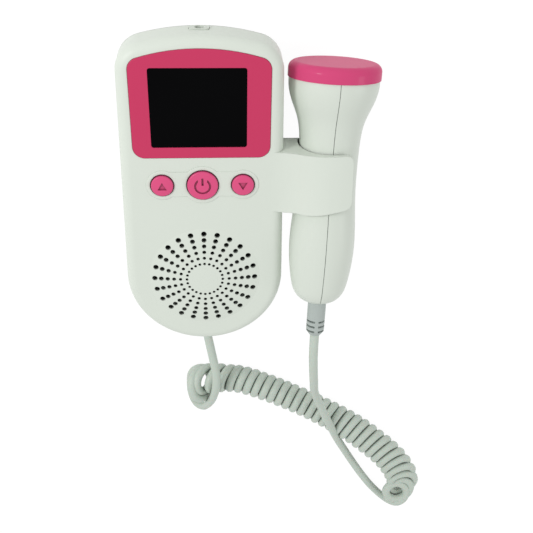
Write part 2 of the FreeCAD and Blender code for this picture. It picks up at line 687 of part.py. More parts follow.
def add_front_arm(body):
    """The arm that reaches over the probe, lofted between its two sides."""
    rises = ["(%s + arm_plate)" % bore_edge(y, 1) for y in ("arm_head", "arm_foot")]
    head_side = sketch(body, "arm_head_side", "XZ_Plane", "-arm_head", arm_profile(rises[0]))
    foot_side = sketch(body, "arm_foot_side", "XZ_Plane", "-arm_foot", arm_profile(rises[1]))
    feature(body, "AdditiveLoft", "front_arm", head_side, Sections=[foot_side], Ruled=True)
    beyond = "(arm_tip + arm_corner)"
    wedge = sketch(body, "arm_taper_edge", "XY_Plane", "-face_depth - wall",
                   [("half_width", "arm_foot - arm_corner"), (beyond, "arm_foot - arm_corner"),
                    (beyond, "arm_foot + arm_taper"), ("half_width", "arm_foot")])
    feature(body, "Pocket", "arm_taper_cut", wedge, Length="face_depth + 4*clip_bore",
            Reversed=True)
    round_edges(body, "arm_corners", "arm_corner", is_arm_corner)


def add_rear_arm(body):
    """The arm under the probe, drawn seen from the right and run out along x."""
    def under(y):
        return "(%s - arm_plate)" % bore_edge(y, -1)
    side = sketch(body, "rear_arm_side", "YZ_Plane", "arm_root",
                  [("arm_foot", "-face_depth - seam_gap"),
                   ("rear_arm_foot", under("rear_arm_foot")),
                   ("rear_arm_head", under("rear_arm_head")),
                   ("arm_head", "-face_depth - seam_gap")])
    feature(body, "Pad", "rear_arm", side, Length="arm_tip - arm_root")
    round_edges(body, "rear_arm_corners", "arm_corner", is_rear_arm_corner)


def is_rear_arm_corner(edge):
    """The sloping edges of the rear arm's end face."""
    span = edge.BoundBox
    at_tip = abs(span.XMin - value("arm_tip")) < 1e-3 and abs(span.XMax - value("arm_tip")) < 1e-3
    return at_tip and span.ZLength > 4.0


def add_grille(body):
    """The dome over the speaker, thinned from below, with its rings of holes."""
    dome = sketch(body, "dome_side", "XZ_Plane", "0",
                  [("0", "-wall/2"), ("dome_radius", "-wall/2"), ("dome_radius", "0",
                   "0", "dome_rise - dome_sphere", 1), ("0", "dome_rise")])
    revolve(body, "grille_dome", dome)


def thin_grille(body):
    under = sketch(body, "dome_under_side", "XZ_Plane", "0",
                   [("0", "-wall"), ("speaker_mouth", "-wall",
                    "0", "dome_rise - wall - under_sphere", 1), ("0", "dome_rise - wall")])
    revolve(body, "dome_hollow", under, cut=True)


def pierce_grille(body):
    """Each ring is one hole on the spoke to the head, repeated round the middle."""
    for ring in range(6):
        spot = ("0", "ring_first + %d*ring_step" % ring, "-wall - dome_rise")
        hole = cylinder(body, "grille_hole_%d" % ring, spot, "hole_first + %d*hole_growth" % ring,
                        "wall + 3*dome_rise", cut=True)
        pattern = body.newObject("PartDesign::PolarPattern", "grille_ring_%d" % ring)
        pattern.Originals = [hole]
        z_axis = [f for f in body.Origin.OriginFeatures if f.Role == "Z_Axis"][0]
        pattern.Axis = (z_axis, [""])
        pattern.Angle = 360.0
        bind(pattern, "Occurrences", "spokes")
        body.Tip = pattern


def add_front_posts(body):
    for index, (x, y) in enumerate(BOARD_POSTS):
        cylinder(body, "board_post_%d" % index, (x, y, "-board_depth"), "board_post_radius",
                 "board_depth - wall")
        cylinder(body, "board_post_bore_%d" % index, (x, y, "-board_depth"),
                 "board_screw + thread_fit", "board_screw_grip + tip_room", cut=True)
    for index, (x, y) in enumerate(CASE_POSTS):
        cylinder(body, "case_post_%d" % index, (x, y, "-face_depth"), "post_radius",
                 "face_depth - wall")
        cylinder(body, "case_post_bore_%d" % index, (x, y, "-face_depth"),
                 "case_screw + thread_fit", "case_screw_grip + tip_room", cut=True)


def front_shell():
    """The face with its dome, window, button holes, front arm and posts."""
    body = piece("front_shell")
    plan = sketch(body, "face_plan", "XY_Plane", "0", casing_outline())
    feature(body, "Pad", "face_block", plan, Length="face_depth", Reversed=True)
    round_edges(body, "face_edge", "face_round", lambda edge: lies_at(edge, 0.0))
    add_front_arm(body)
    add_grille(body)
    hollow = sketch(body, "face_hollow", "XY_Plane", "-wall", casing_outline("wall"))
    feature(body, "Pocket", "face_room", hollow, Length="face_depth")
    thin_grille(body)
    seat = sketch(body, "bezel_seat_edge", "XY_Plane", "0", bezel_outline("snug"))
    feature(body, "Pocket", "bezel_seat", seat, Length="bezel_seat")
    opening = sketch(body, "display_opening_edge", "XY_Plane", "0",
                     window_outline("-window_ledge"))
    feature(body, "Pocket", "display_opening", opening, Length="2*wall")
    for name, x, radius in BUTTONS_AT:
        cylinder(body, name + "_hole", (x, "button_row", "-2*wall"), "%s + button_gap" % radius,
                 "4*wall", cut=True)
    socket = sketch(body, "jack_hole_edge", "XZ_Plane", "-head_reach", jack_nose("snug"))
    feature(body, "Pocket", "jack_hole", socket, Length="4*wall", Midplane=True)
    add_front_posts(body)
    cut_channel(body)
    pierce_grille(body)


def jack_nose(grow="0"):
    half = "(jack_width/2 + %s)" % grow
    low = "(-jack_depth - jack_height/2 - %s)" % grow
    high = "(-jack_depth + jack_height/2 + %s)" % grow
    return rounded_rectangle("(-%s)" % half, half, low, high, "(jack_corner + %s)" % grow)


def add_lip(body):
    """A lip inside the parting line, which the front shell's wall goes round."""
    top = "-face_depth + lip_rise"
    outside = sketch(body, "lip_outside", "XY_Plane", top, casing_outline("wall + snug"))
    feature(body, "Pad", "lip_block", outside, Length="lip_rise + lip_root", Reversed=True)
    inside = sketch(body, "lip_inside", "XY_Plane", top,
                    casing_outline("wall + snug + lip_plate"))
    feature(body, "Pocket", "lip_room", inside, Length="lip_rise + lip_root")


def cover_outline(grow="0"):
    half = "(bay_half + cover_border + %s)" % grow
    return rounded_rectangle("(-%s)" % half, half, "(bay_foot - cover_border - %s)" % grow,
                             "(bay_foot + bay_length + cover_border + %s)" % grow,
                             "(cover_corner + %s)" % grow)


def add_battery_bay(body):
    """A walled bay for two cells, open to the back, with a seat for its cover."""
    box(body, "bay_block",
        ("-bay_half - bay_wall", "bay_foot - bay_wall", "-body_depth + wall"),
        ("2*(bay_half + bay_wall)", "bay_length + 2*bay_wall",
         "body_depth - wall - bay_ceiling + bay_roof"))
    box(body, "bay_room", ("-bay_half", "bay_foot", "-body_depth - wall"),
        ("2*bay_half", "bay_length", "body_depth + wall - bay_ceiling"), cut=True)
    seat = sketch(body, "cover_seat_edge", "XY_Plane", "-body_depth", cover_outline("cover_gap"))
    feature(body, "Pocket", "cover_seat", seat, Length="2*(cover_sink + cover_plate)",
            Midplane=True)


def rear_shell():
    """The back with its lip, battery bay, screw posts, cord hole and rear arm."""
    body = piece("rear_shell")
    rim = "-face_depth - seam_gap"
    wide = sketch(body, "parting_plan", "XY_Plane", rim, casing_outline())
    narrow = sketch(body, "back_plan", "XY_Plane", "-body_depth",
                    casing_outline("back_inset", "head_inset"))
    feature(body, "AdditiveLoft", "back_block", wide, Sections=[narrow], Ruled=True)
    round_edges(body, "back_edge", "back_round",
                lambda edge: lies_at(edge, -value("body_depth")))
    add_rear_arm(body)
    wide = sketch(body, "rim_room_plan", "XY_Plane", rim, casing_outline("wall"))
    narrow = sketch(body, "floor_plan", "XY_Plane", "-body_depth + wall",
                    casing_outline("back_inset + wall", "head_inset + wall"))
    feature(body, "SubtractiveLoft", "back_room", wide, Sections=[narrow], Ruled=True)
    add_lip(body)
    for index, (x, y) in enumerate(CASE_POSTS):
        cylinder(body, "rear_post_%d" % index, (x, y, "-body_depth + wall"),
                 "post_radius + post_swell", "back_depth - wall")
    add_battery_bay(body)
    for index, (x, y) in enumerate(CASE_POSTS):
        cylinder(body, "rear_post_bore_%d" % index, (x, y, "-body_depth - wall"),
                 "case_screw + screw_clear", "body_depth", cut=True)
        cylinder(body, "screw_sink_%d" % index, (x, y, "-body_depth - wall"),
                 "case_screw_head + screw_clear", "case_screw_sink + wall", cut=True)
    cylinder(body, "cord_hole", ("0", "-grommet_out", "-cord_exit_depth"),
             "grommet_neck + snug", "grommet_out - grommet_seat + wall", "y", cut=True)
    cut_channel(body)


def bezel():
    """The coloured plate round the display."""
    body = piece("bezel")
    plan = sketch(body, "plate_plan", "XY_Plane", "bezel_proud", bezel_outline())
    feature(body, "Pad", "plate", plan, Length="bezel_plate", Reversed=True)
    round_edges(body, "plate_edge", "bezel_proud",
                lambda edge: lies_at(edge, value("bezel_proud")))
    hole = sketch(body, "window_hole_edge", "XY_Plane", "bezel_proud", window_outline("0"))
    feature(body, "Pocket", "window_hole", hole, Length="2*bezel_plate")


def display_window():
    body = piece("display_window")
    plan = sketch(body, "window_plan", "XY_Plane", "-bezel_seat", window_outline("-snug"))
    feature(body, "Pad", "window", plan, Length="window_plate")


def lcd_module():
    """The display, against the underside of the face."""
    body = piece("lcd_module")
    box(body, "module", ("-screen_left - lcd_border", "screen_foot - lcd_border",
                         "-wall - lcd_plate"),
        ("screen_left + screen_right + 2*lcd_border",
         "screen_head - screen_foot + 2*lcd_border", "lcd_plate"))


def lcd_ribbon():
    """A flat cable from the foot of the display down to the main board."""
    body = piece("lcd_ribbon")
    start = "(screen_foot - lcd_border)"
    high = "(-wall - ribbon_drop)"
    side = sketch(body, "ribbon_side", "YZ_Plane", "(screen_right - screen_left)/2",
                  [(start, high), ("(%s - ribbon_run)" % start, high),
                   ("(%s - ribbon_run)" % start, "-board_depth"),
                   ("(%s + ribbon_run)" % start, "-board_depth"),
                   ("(%s + ribbon_run)" % start, "(-board_depth + ribbon_plate)"),
                   ("(%s - ribbon_run + ribbon_plate)" % start, "(-board_depth + ribbon_plate)"),
                   ("(%s - ribbon_run + ribbon_plate)" % start, "(%s - ribbon_plate)" % high),
                   (start, "(%s - ribbon_plate)" % high)])
    feature(body, "Pad", "ribbon", side, Length="ribbon_width", Midplane=True)


def main_board():
    """The circuit board on its four posts, with its processor."""
    body = piece("main_board")
    box(body, "board", ("-board_half_width", "board_foot", "-board_back"),
        ("2*board_half_width", "board_head - board_foot", "board_plate"))
    centred_box(body, "processor", "-button_pitch", "chip_y", "-board_depth",
                "chip_side", "chip_side", "chip_plate")
    for index, (x, y) in enumerate(BOARD_POSTS):
        cylinder(body, "board_hole_%d" % index, (x, y, "-board_back"),
                 "board_screw + screw_clear", "board_plate", cut=True)


def board_screws():
    body = piece("board_screws")
    for index, (x, y) in enumerate(BOARD_POSTS):
        cylinder(body, "shank_%d" % index, (x, y, "-board_back"), "board_screw",
                 "board_plate + board_screw_grip")
        cylinder(body, "head_%d" % index, (x, y, "-board_back - screw_head_height"),
                 "board_screw_head", "screw_head_height")


def case_screws():
    body = piece("case_screws")
    for index, (x, y) in enumerate(CASE_POSTS):
        cylinder(body, "shank_%d" % index, (x, y, "-screw_seat"), "case_screw",
                 "screw_seat - face_depth + case_screw_grip")
        cylinder(body, "head_%d" % index, (x, y, "-screw_seat - case_head_height"),
                 "case_screw_head", "case_head_height")


def push_switch(name, x):
    """A small switch on the main board, under its button."""
    body = piece(name + "_switch")
    centred_box(body, "housing", x, "button_row", "-board_depth", "switch_side", "switch_side",
                "switch_body")
    cylinder(body, "plunger", (x, "button_row", "-board_depth + switch_body"),
             "plunger_radius", "plunger_rise")


def push_button(name, x, radius):
    """A round button with a flange behind the face and a stem over its switch."""
    body = piece(name + "_button")
    flange_top = "(-wall - rest_gap)"
    cylinder(body, "cap", (x, "button_row", flange_top), radius,
             "button_rise + wall + rest_gap")
    round_edges(body, "cap_edge", "button_round",
                lambda edge: lies_at(edge, value("button_rise")))
    cylinder(body, "flange", (x, "button_row", "%s - flange_plate" % flange_top),
             "%s + button_flange" % radius, "flange_plate")
    cylinder(body, "stem", (x, "button_row", "-stem_foot"), "stem_radius",
             "stem_foot - wall - rest_gap")


def speaker_gasket():
    body = piece("speaker_gasket")
    cylinder(body, "foam", ("0", "0", "-basket_front"), "speaker_radius", "gasket_plate")
    cylinder(body, "foam_hole", ("0", "0", "-basket_front"), "speaker_mouth", "gasket_plate",
             cut=True)


def speaker_basket():
    """A pressed frame: a flat rim, a cone-shaped wall and a flat back with a hole."""
    body = piece("speaker_basket")
    front = "(-basket_front)"
    back = "(-basket_back)"
    seat = "(speaker_mouth - rim_seat)"
    side = sketch(body, "basket_side", "XZ_Plane", "0",
                  [(seat, front), ("speaker_radius", front),
                   ("speaker_radius", "(%s - basket_plate)" % front),
                   ("(%s + basket_plate/2)" % seat, "(%s - basket_plate)" % front),
                   ("magnet_radius", back), ("(cone_throat + basket_plate/2)", back),
                   ("(cone_throat + basket_plate/2)", "(%s + basket_plate)" % back),
                   ("(magnet_radius - basket_plate)", "(%s + basket_plate)" % back),
                   ("(%s - basket_plate/2)" % seat, "(%s - basket_plate)" % front)])
    revolve(body, "basket", side)


def speaker_cone():
    """The cone on its seat inside the foam ring, with its dust cap."""
    body = piece("speaker_cone")
    seat = "(speaker_mouth - rim_seat)"
    front = "(-basket_front)"
    throat = "(%s - cone_depth)" % front
    side = sketch(body, "cone_side", "XZ_Plane", "0",
                  [("0", "(%s + dust_cap_rise)" % throat), ("cone_throat", throat),
                   (seat, front), ("(speaker_mouth - snug)", front),
                   ("(speaker_mouth - snug)", "(%s + cone_plate)" % front),
                   (seat, "(%s + cone_plate)" % front),
                   ("cone_throat", "(%s + 2*cone_plate)" % throat),
                   ("0", "(%s + dust_cap_rise + cone_plate)" % throat)])
    revolve(body, "cone", side)


def speaker_magnet():
    body = piece("speaker_magnet")
    cylinder(body, "magnet", ("0", "0", "-basket_back - magnet_plate"), "magnet_radius",
             "magnet_plate")


def battery_cell(name, x, start, positive_end):
    """A cell lying in the bay; its nub points to the head (+1) or to the foot (-1)."""
    body = piece(name)
    can_start = start if positive_end > 0 else "%s + nub_height" % start
    nub_start = "%s + cell_length - nub_height" % start if positive_end > 0 else start
    cylinder(body, "can", (x, can_start, "-cell_depth"), "cell_radius",
             "cell_length - nub_height", "y")
    cylinder(body, "nub", (x, nub_start, "-cell_depth"), "nub_radius", "nub_height", "y")


CELL_X = "(cell_radius + cell_gap/2)"
SPRING_FOOT = "(bay_foot + contact_plate)"
SPRING_HEAD = "(bay_foot + contact_plate + cell_length)"


def battery_springs():
    """A bent leaf at the foot of the left cell and at the head of the right one."""
    body = piece("battery_springs")
    reach = "(contact_room - contact_plate)"
    for name, x, base, way in (("foot", "-" + CELL_X, SPRING_FOOT, 1),
                               ("head", CELL_X, "(%s + %s)" % (SPRING_HEAD, reach), -1)):
        crest = "(%s + %d*%s)" % (base, way, reach)
        under = "(%s - %d*leaf_plate)" % (crest, way)
        half = [(base, "leaf_half"), (crest, "leaf_crest"), (crest, "-leaf_crest"),
                (base, "-leaf_half"), (base, "-leaf_half + 2*leaf_plate"),
                (under, "-leaf_crest"), (under, "leaf_crest"),
                (base, "leaf_half - 2*leaf_plate")]
        side = sketch(body, name + "_leaf_side", "YZ_Plane", x,
                      [(y, "%s - cell_depth" % height) for y, height in half])
        feature(body, "Pad", name + "_leaf", side, Length="leaf_width", Midplane=True)


def battery_plates():
    """The contact plates at the two ends of the bay."""
    body = piece("battery_plates")
    for name, y in (("foot", "bay_foot"), ("head", "bay_foot + bay_length - contact_plate")):
        box(body, name + "_plate", ("-contact_half", y, "-cell_depth - contact_height/2"),
            ("2*contact_half", "contact_plate", "contact_height"))


def battery_cover():
    """The lid of the battery bay, flush in the back, with a rib that keys into the bay."""
    body = piece("battery_cover")
    plan = sketch(body, "cover_plan", "XY_Plane", "-cover_seat", cover_outline())
    feature(body, "Pad", "cover", plan, Length="cover_plate", Reversed=True)
    box(body, "key_rib", ("-bay_half + cover_gap", "bay_foot + cover_gap", "-cover_seat"),
        ("2*(bay_half - cover_gap)", "bay_length - 2*cover_gap", "cover_rib"))
    cylinder(body, "thumb_hollow",
             ("0", "bay_foot + bay_length - cell_radius", "-cover_seat - 3*cover_plate/2"),
             "cell_radius", "cover_plate", cut=True)


def headphone_jack():
    """The earphone socket: a nose in the head wall and a body at the board's edge."""
    body = piece("headphone_jack")
    front = "(head_reach - wall - jack_gap)"
    nose = sketch(body, "nose_edge", "XZ_Plane", "-(%s)" % front, jack_nose())
    feature(body, "Pad", "nose", nose, Length="wall + jack_gap + jack_proud", Reversed=True)
    top = "(-jack_depth + jack_body_rise)"
    bottom = "(-jack_depth - jack_body_fall)"
    box(body, "housing", ("-jack_body_width/2", "board_head + snug", bottom),
        ("jack_body_width", "%s - board_head - snug" % front, "%s - %s" % (top, bottom)))
    box(body, "housing_tail", ("-jack_body_width/2", "board_head - jack_tail", bottom),
        ("jack_body_width", "jack_tail + snug", "-board_back - %s" % bottom))
    cylinder(body, "bore", ("0", "head_reach + jack_proud - jack_reach", "-jack_depth"),
             "jack_bore", "jack_reach", "y", cut=True)


def cord_grommet():
    """The cord's gland in the foot wall, with a flange inside and a boot outside."""
    body = piece("cord_grommet")
    height = "-cord_exit_depth"
    cone(body, "boot", ("0", "-grommet_out", height), "grommet_tip", "grommet_boot",
         "grommet_out - grommet_shoulder", "y")
    cylinder(body, "neck", ("0", "-grommet_shoulder", height), "grommet_neck",
             "grommet_shoulder - grommet_seat", "y")
    cylinder(body, "flange", ("0", "-grommet_seat", height), "grommet_flange",
             "grommet_plate", "y")


def probe_stations(inset):
    """Radius and place along the axis from the mouth down, moved in by a wall."""
    wall = "(%s)" % inset
    named = [("mouth_radius", "mouth_at"), ("flare_radius", "flare_at"),
             ("throat_radius", "throat_at"), ("waist_radius", "waist_at"),
             ("hip_radius", "-hip_at"), ("belly_radius", "-belly_at"),
             ("heel_radius", "-heel_at"), ("toe_radius", "-toe_at + %s/2" % wall),
             ("rim_radius", "-rim_at + 3*%s/4" % wall),
             ("end_radius", "-end_at + %s" % wall)]
    return [Vector(value("%s - %s" % (radius, wall)), value(place), 0)
            for radius, place in named]


def probe_round(inset):
    """A solid of the probe's outline turned about its axis."""
    points = probe_stations(inset)
    curve = Part.BSplineCurve()
    curve.interpolate(points)
    foot = Vector(0, points[-1].y, 0)
    head = Vector(0, points[0].y, 0)
    edges = [curve.toShape(), Part.makeLine(points[-1], foot), Part.makeLine(foot, head),
             Part.makeLine(head, points[0])]
    face = Part.Face(Part.Wire(edges))
    return face.revolve(Vector(), Vector(0, 1, 0), 360)


def tube_along_probe(start, stop, outer, inner):
    """A tube on the probe's axis between two places."""
    base = Vector(0, value(start), 0)
    length = value("%s - (%s)" % (stop, start))
    along = Vector(0, 1, 0)
    return (Part.makeCylinder(value(outer), length, base, along)
            .cut(Part.makeCylinder(value(inner), length, base, along)))


def probe_shells():
    """The two halves of the probe's casing, split along its length."""
    walls = probe_round("0").cut(probe_round("probe_wall"))
    spigot = tube_along_probe("mouth_at - probe_wall", "mouth_at + spigot_height",
                              "spigot_radius", "spigot_radius - spigot_wall")
    whole = walls.fuse(spigot)
    hole = Part.makeCylinder(value("relief_neck + snug"), value("4*probe_wall"),
                             Vector(0, -value("end_at + probe_wall"), 0), Vector(0, 1, 0))
    whole = whole.cut(hole)
    reach = value("end_at + relief_length")
    placement = frame_placement(PROBE_FRAME)
    for name, side in (("left", -1), ("right", 1)):
        half = Part.makeBox(reach, 2 * reach, 2 * reach, Vector(0, -reach, -reach))
        if side < 0:
            half.translate(Vector(-reach, 0, 0))
        half.translate(Vector(side * value("probe_seam"), 0, 0))
        made("probe_shell_" + name, whole.common(half).removeSplitter(), placement)


def probe_cap():
    """The cap over the crystals, pressed on the spigot."""
    body = piece("probe_cap", PROBE_FRAME)
    bore = "(spigot_radius + press_fit)"
    side = sketch(body, "cap_side", "XY_Plane", "0",
                  [(bore, "mouth_at"), ("cap_radius", "mouth_at"),
                   ("cap_radius", "cap_end - cap_round",
                    "cap_radius - cap_round", "cap_end - cap_round", 1),
                   ("cap_radius - cap_round", "cap_end"), ("0", "cap_end"),
                   ("0", "cap_end - cap_face"), (bore, "cap_end - cap_face")])
    revolve(body, "cap", side)


def crystal_carrier():
    body = piece("crystal_carrier", PROBE_FRAME)
    cylinder(body, "carrier", ("0", "carrier_foot", "0"),
             "spigot_radius - spigot_wall - carrier_gap", "carrier_plate", "y")


def half_crystal(name, side):
    """A half-round crystal against the inside of the cap's end."""
    body = piece(name, PROBE_FRAME)
    cylinder(body, "disc", ("0", "crystal_foot", "0"), "crystal_radius", "crystal_plate", "y")
    corner_x = "-crystal_radius" if side > 0 else "-crystal_split/2"
    box(body, "split", (corner_x, "crystal_foot", "-crystal_radius"),
        ("crystal_radius + crystal_split/2", "crystal_plate", "2*crystal_radius"), cut=True)


def crystal_leads():
    """The four leads from the crystals' carrier down to the probe's board."""
    body = piece("crystal_leads", PROBE_FRAME)
    for index in range(4):
        x = "%d*lead_spread/2" % (2 * index - 3)
        cylinder(body, "lead_%d" % index, (x, "probe_board_head", "0"), "lead_radius",
                 "carrier_foot - probe_board_head", "y")


def probe_board():
    body = piece("probe_board", PROBE_FRAME)
    box(body, "board", ("-probe_board_width/2", "-probe_board_tail", "-probe_board_plate/2"),
        ("probe_board_width", "probe_board_head + probe_board_tail", "probe_board_plate"))


def probe_cable_header():
    body = piece("probe_cable_header", PROBE_FRAME)
    box(body, "header", ("-header_width/2", "-header_at", "probe_board_plate/2"),
        ("header_width", "header_length", "header_height"))


def probe_strain_relief():
    """A round boot with slots on both sides of a spine, held by a flange inside."""
    body = piece("probe_strain_relief", PROBE_FRAME)
    cylinder(body, "boot", ("0", "-relief_end + relief_nose", "0"), "relief_radius",
             "relief_end - relief_nose - relief_start", "y")
    cone(body, "nose", ("0", "-relief_end", "0"), "relief_tip", "relief_radius",
         "relief_nose", "y")
    for side in (-1, 1):
        for index in range(int(value("slot_count"))):
            corner_x = "slot_spine" if side > 0 else "-slot_spine - relief_radius"
            corner_y = "-end_at - slot_first - %d*slot_step - slot_width/2" % index
            box(body, "slot_%d_%d" % (side + 1, index), (corner_x, corner_y, "-relief_radius"),
                ("relief_radius", "slot_width", "2*relief_radius"), cut=True)
    cylinder(body, "core", ("0", "-relief_end", "0"), "wire_radius",
             "relief_end - relief_start", "y")
    cylinder(body, "neck", ("0", "-relief_start", "0"), "relief_neck",
             "relief_start - end_at + probe_wall + relief_seat", "y")
    cylinder(body, "flange", ("0", "-end_at + probe_wall + relief_seat", "0"),
             "relief_flange", "relief_plate", "y")


def rounded_path(points):
    """Straight runs joined by tangent arcs; says the radii it used."""
    edges = []
    radii = []
    last = points[0]
    for before, corner, after in zip(points, points[1:], points[2:]):
        back = before - corner
        forth = after - corner
        half_turn = (math.pi - back.getAngle(forth)) / 2
        reach = 0.45 * min(back.Length, forth.Length)
        radii.append(reach / math.tan(half_turn))
        back.normalize()
        forth.normalize()
        enter = corner + back * reach
        leave = corner + forth * reach
        inward = back + forth
        inward.normalize()
        middle = corner + inward * radii[-1] * (1 / math.cos(half_turn) - 1)
        edges.append(Part.LineSegment(last, enter).toShape())
        edges.append(Part.Arc(enter, middle, leave).toShape())
        last = leave
    edges.append(Part.LineSegment(last, points[-1]).toShape())
    return Part.Wire(edges), radii


def cord_run(name, route, radius):
    """A round cord along a route of hand-chosen points, given from the table up."""
    table = value("body_depth")
    points = [Vector(x, y, height - table) for x, y, height in route]
    path, radii = rounded_path(points)
    start = Part.Circle(points[0], points[1] - points[0], radius)
    tube = path.makePipeShell([Part.Wire(start.toShape())], True, False)
    made(name, tube, frame_placement(CASING_FRAME))
    share = tube.Volume / (math.pi * radius ** 2 * path.Length)
    print("%s: %.1f mm long, volume share %.4f, radii %s"
          % (name, path.Length, share, [round(radius, 1) for radius in radii]))


def cords():
    cord_run("cord_unit_tail", UNIT_TAIL_ROUTE, value("wire_radius"))
    cord_run("cord_coil", COIL_ROUTE, value("coil_radius"))
    cord_run("cord_probe_tail", PROBE_TAIL_ROUTE, value("wire_radius"))


def export_all():
    """Check every object and sub-part, then write one file for each."""
    doc.recompute()
    for thing in doc.Objects:
        if "Invalid" in thing.State or "Error" in thing.State:
            raise RuntimeError("%s failed: %s" % (thing.Label, thing.State))
    os.makedirs("parts", exist_ok=True)
    for thing in solids:
        shape = thing.Shape
        if shape.isNull() or not shape.isValid() or not shape.Solids:
            raise RuntimeError("%s has no sound solid" % thing.Label)
        shape.exportStep("parts/%s.step" % thing.Label)
        print("%-22s %d solid(s), %9.1f mm3" % (thing.Label, len(shape.Solids), shape.Volume))


fill_sheet()
front_shell()
rear_shell()
bezel()
display_window()
lcd_module()
lcd_ribbon()
main_board()
board_screws()
case_screws()
for button_name, button_x, button_radius in BUTTONS_AT:
    push_switch(button_name, button_x)
    push_button(button_name, button_x, button_radius)
speaker_gasket()
speaker_basket()
speaker_cone()
speaker_magnet()
battery_cell("battery_left", "-" + CELL_X, "bay_foot + contact_room", 1)
battery_cell("battery_right", CELL_X, "bay_foot + contact_plate", -1)
battery_springs()
battery_plates()
battery_cover()
headphone_jack()
cord_grommet()
probe_shells()
probe_cap()
crystal_carrier()
half_crystal("transmit_crystal", 1)
half_crystal("receive_crystal", -1)
crystal_leads()
probe_board()
probe_cable_header()
probe_strain_relief()
cords()
export_all()
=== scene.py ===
"""A home fetal doppler: keys, curly cord, finishes and studio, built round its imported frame.

Metres throughout.  +Z comes out of the unit's face and +Y runs to its head.
"""
import math

import bpy
from mathutils import Matrix, Vector


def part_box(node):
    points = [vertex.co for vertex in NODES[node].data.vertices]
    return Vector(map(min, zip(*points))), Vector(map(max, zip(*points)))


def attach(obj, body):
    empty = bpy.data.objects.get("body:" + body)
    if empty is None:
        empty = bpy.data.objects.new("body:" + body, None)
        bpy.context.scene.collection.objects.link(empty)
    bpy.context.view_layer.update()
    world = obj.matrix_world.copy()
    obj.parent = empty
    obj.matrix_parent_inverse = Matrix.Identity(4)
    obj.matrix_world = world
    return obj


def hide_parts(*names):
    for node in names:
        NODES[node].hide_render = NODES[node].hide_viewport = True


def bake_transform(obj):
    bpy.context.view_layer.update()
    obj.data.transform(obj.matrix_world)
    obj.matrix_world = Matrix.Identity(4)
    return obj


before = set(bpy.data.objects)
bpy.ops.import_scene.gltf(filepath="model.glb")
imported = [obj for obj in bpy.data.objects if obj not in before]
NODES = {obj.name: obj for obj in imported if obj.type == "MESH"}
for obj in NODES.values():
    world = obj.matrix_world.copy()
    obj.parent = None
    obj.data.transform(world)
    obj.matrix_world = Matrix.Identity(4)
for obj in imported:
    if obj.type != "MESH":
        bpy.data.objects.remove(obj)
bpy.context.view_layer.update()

bl_info = {
    "name": "Fetal doppler studio model",
    "version": (1, 0, 0),
    "blender": (4, 5, 0),
    "location": "View3D > Sidebar > Doppler",
    "description": "Adds the keys, the curly cord, the finishes and the studio",
    "category": "Add Mesh",
}

MM = 0.001
FACE = 0.034  # height of the unit's face over the table


def middle_of(node):
    low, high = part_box(node)
    return (low + high) / 2


GRILLE = middle_of("speaker_magnet")
KEYS = (("up", 0.00435), ("power", 0.00605), ("down", 0.00435))  # name, radius


def placed(across, along, height):
    """A place given in mm from the grille's middle, across, along and over the table."""
    return (GRILLE.x + across * MM, GRILLE.y + along * MM, height * MM)


# The cord's route: the tail from the unit, the line under the coil's middle, whose
# height is given turn by turn below, and the tail from the probe.
UNIT_TAIL = [placed(*spot) for spot in (
    (0.0, -40.0, 14.0), (0.0, -44.0, 14.2), (0.9, -48.5, 15.0), (1.8, -53.5, 15.8),
    (2.8, -58.9, 16.6), (3.7, -63.9, 17.3), (4.1, -68.6, 17.8), (3.9, -73.1, 17.8),
    (3.2, -78.6, 16.8), (1.8, -85.8, 13.2), (-0.4, -93.0, 8.6), (-3.0, -97.9, 5.0),
    (-6.2, -97.6, 2.6), (-8.2, -93.6, 2.1), (-8.9, -89.2, 2.1), (-9.0, -84.9, 2.1),
    (-8.9, -80.8, 2.2), (-8.4, -77.4, 2.8), (-7.0, -74.5, 3.9),
)]
COIL = [placed(*spot) for spot in (
    (-2.8, -82.0, 0), (1.8, -79.0, 0), (8.3, -76.2, 0), (19.8, -78.6, 0),
    (32.5, -84.4, 0), (44.9, -91.2, 0), (58.8, -100.2, 0), (72.0, -109.8, 0),
    (84.0, -120.2, 0), (96.1, -133.2, 0), (103.6, -145.4, 0), (107.2, -155.0, 0),
    (108.4, -160.6, 0),
)]
PROBE_TAIL = [placed(*spot) for spot in (
    (47.069, -27.534, 38.659), (46.713, -36.39, 40.222), (47.6, -49.0, 38.8),
    (48.9, -59.5, 34.0), (50.1, -69.0, 27.5), (51.9, -77.5, 22.0), (54.7, -86.0, 18.6),
    (58.0, -94.9, 17.6), (62.0, -105.4, 14.5), (66.0, -117.3, 9.5), (71.6, -130.8, 4.5),
    (77.4, -142.7, 2.3), (82.8, -152.2, 2.1), (89.3, -162.3, 2.1), (95.5, -169.5, 2.6),
    (100.0, -171.9, 5.0),
)]
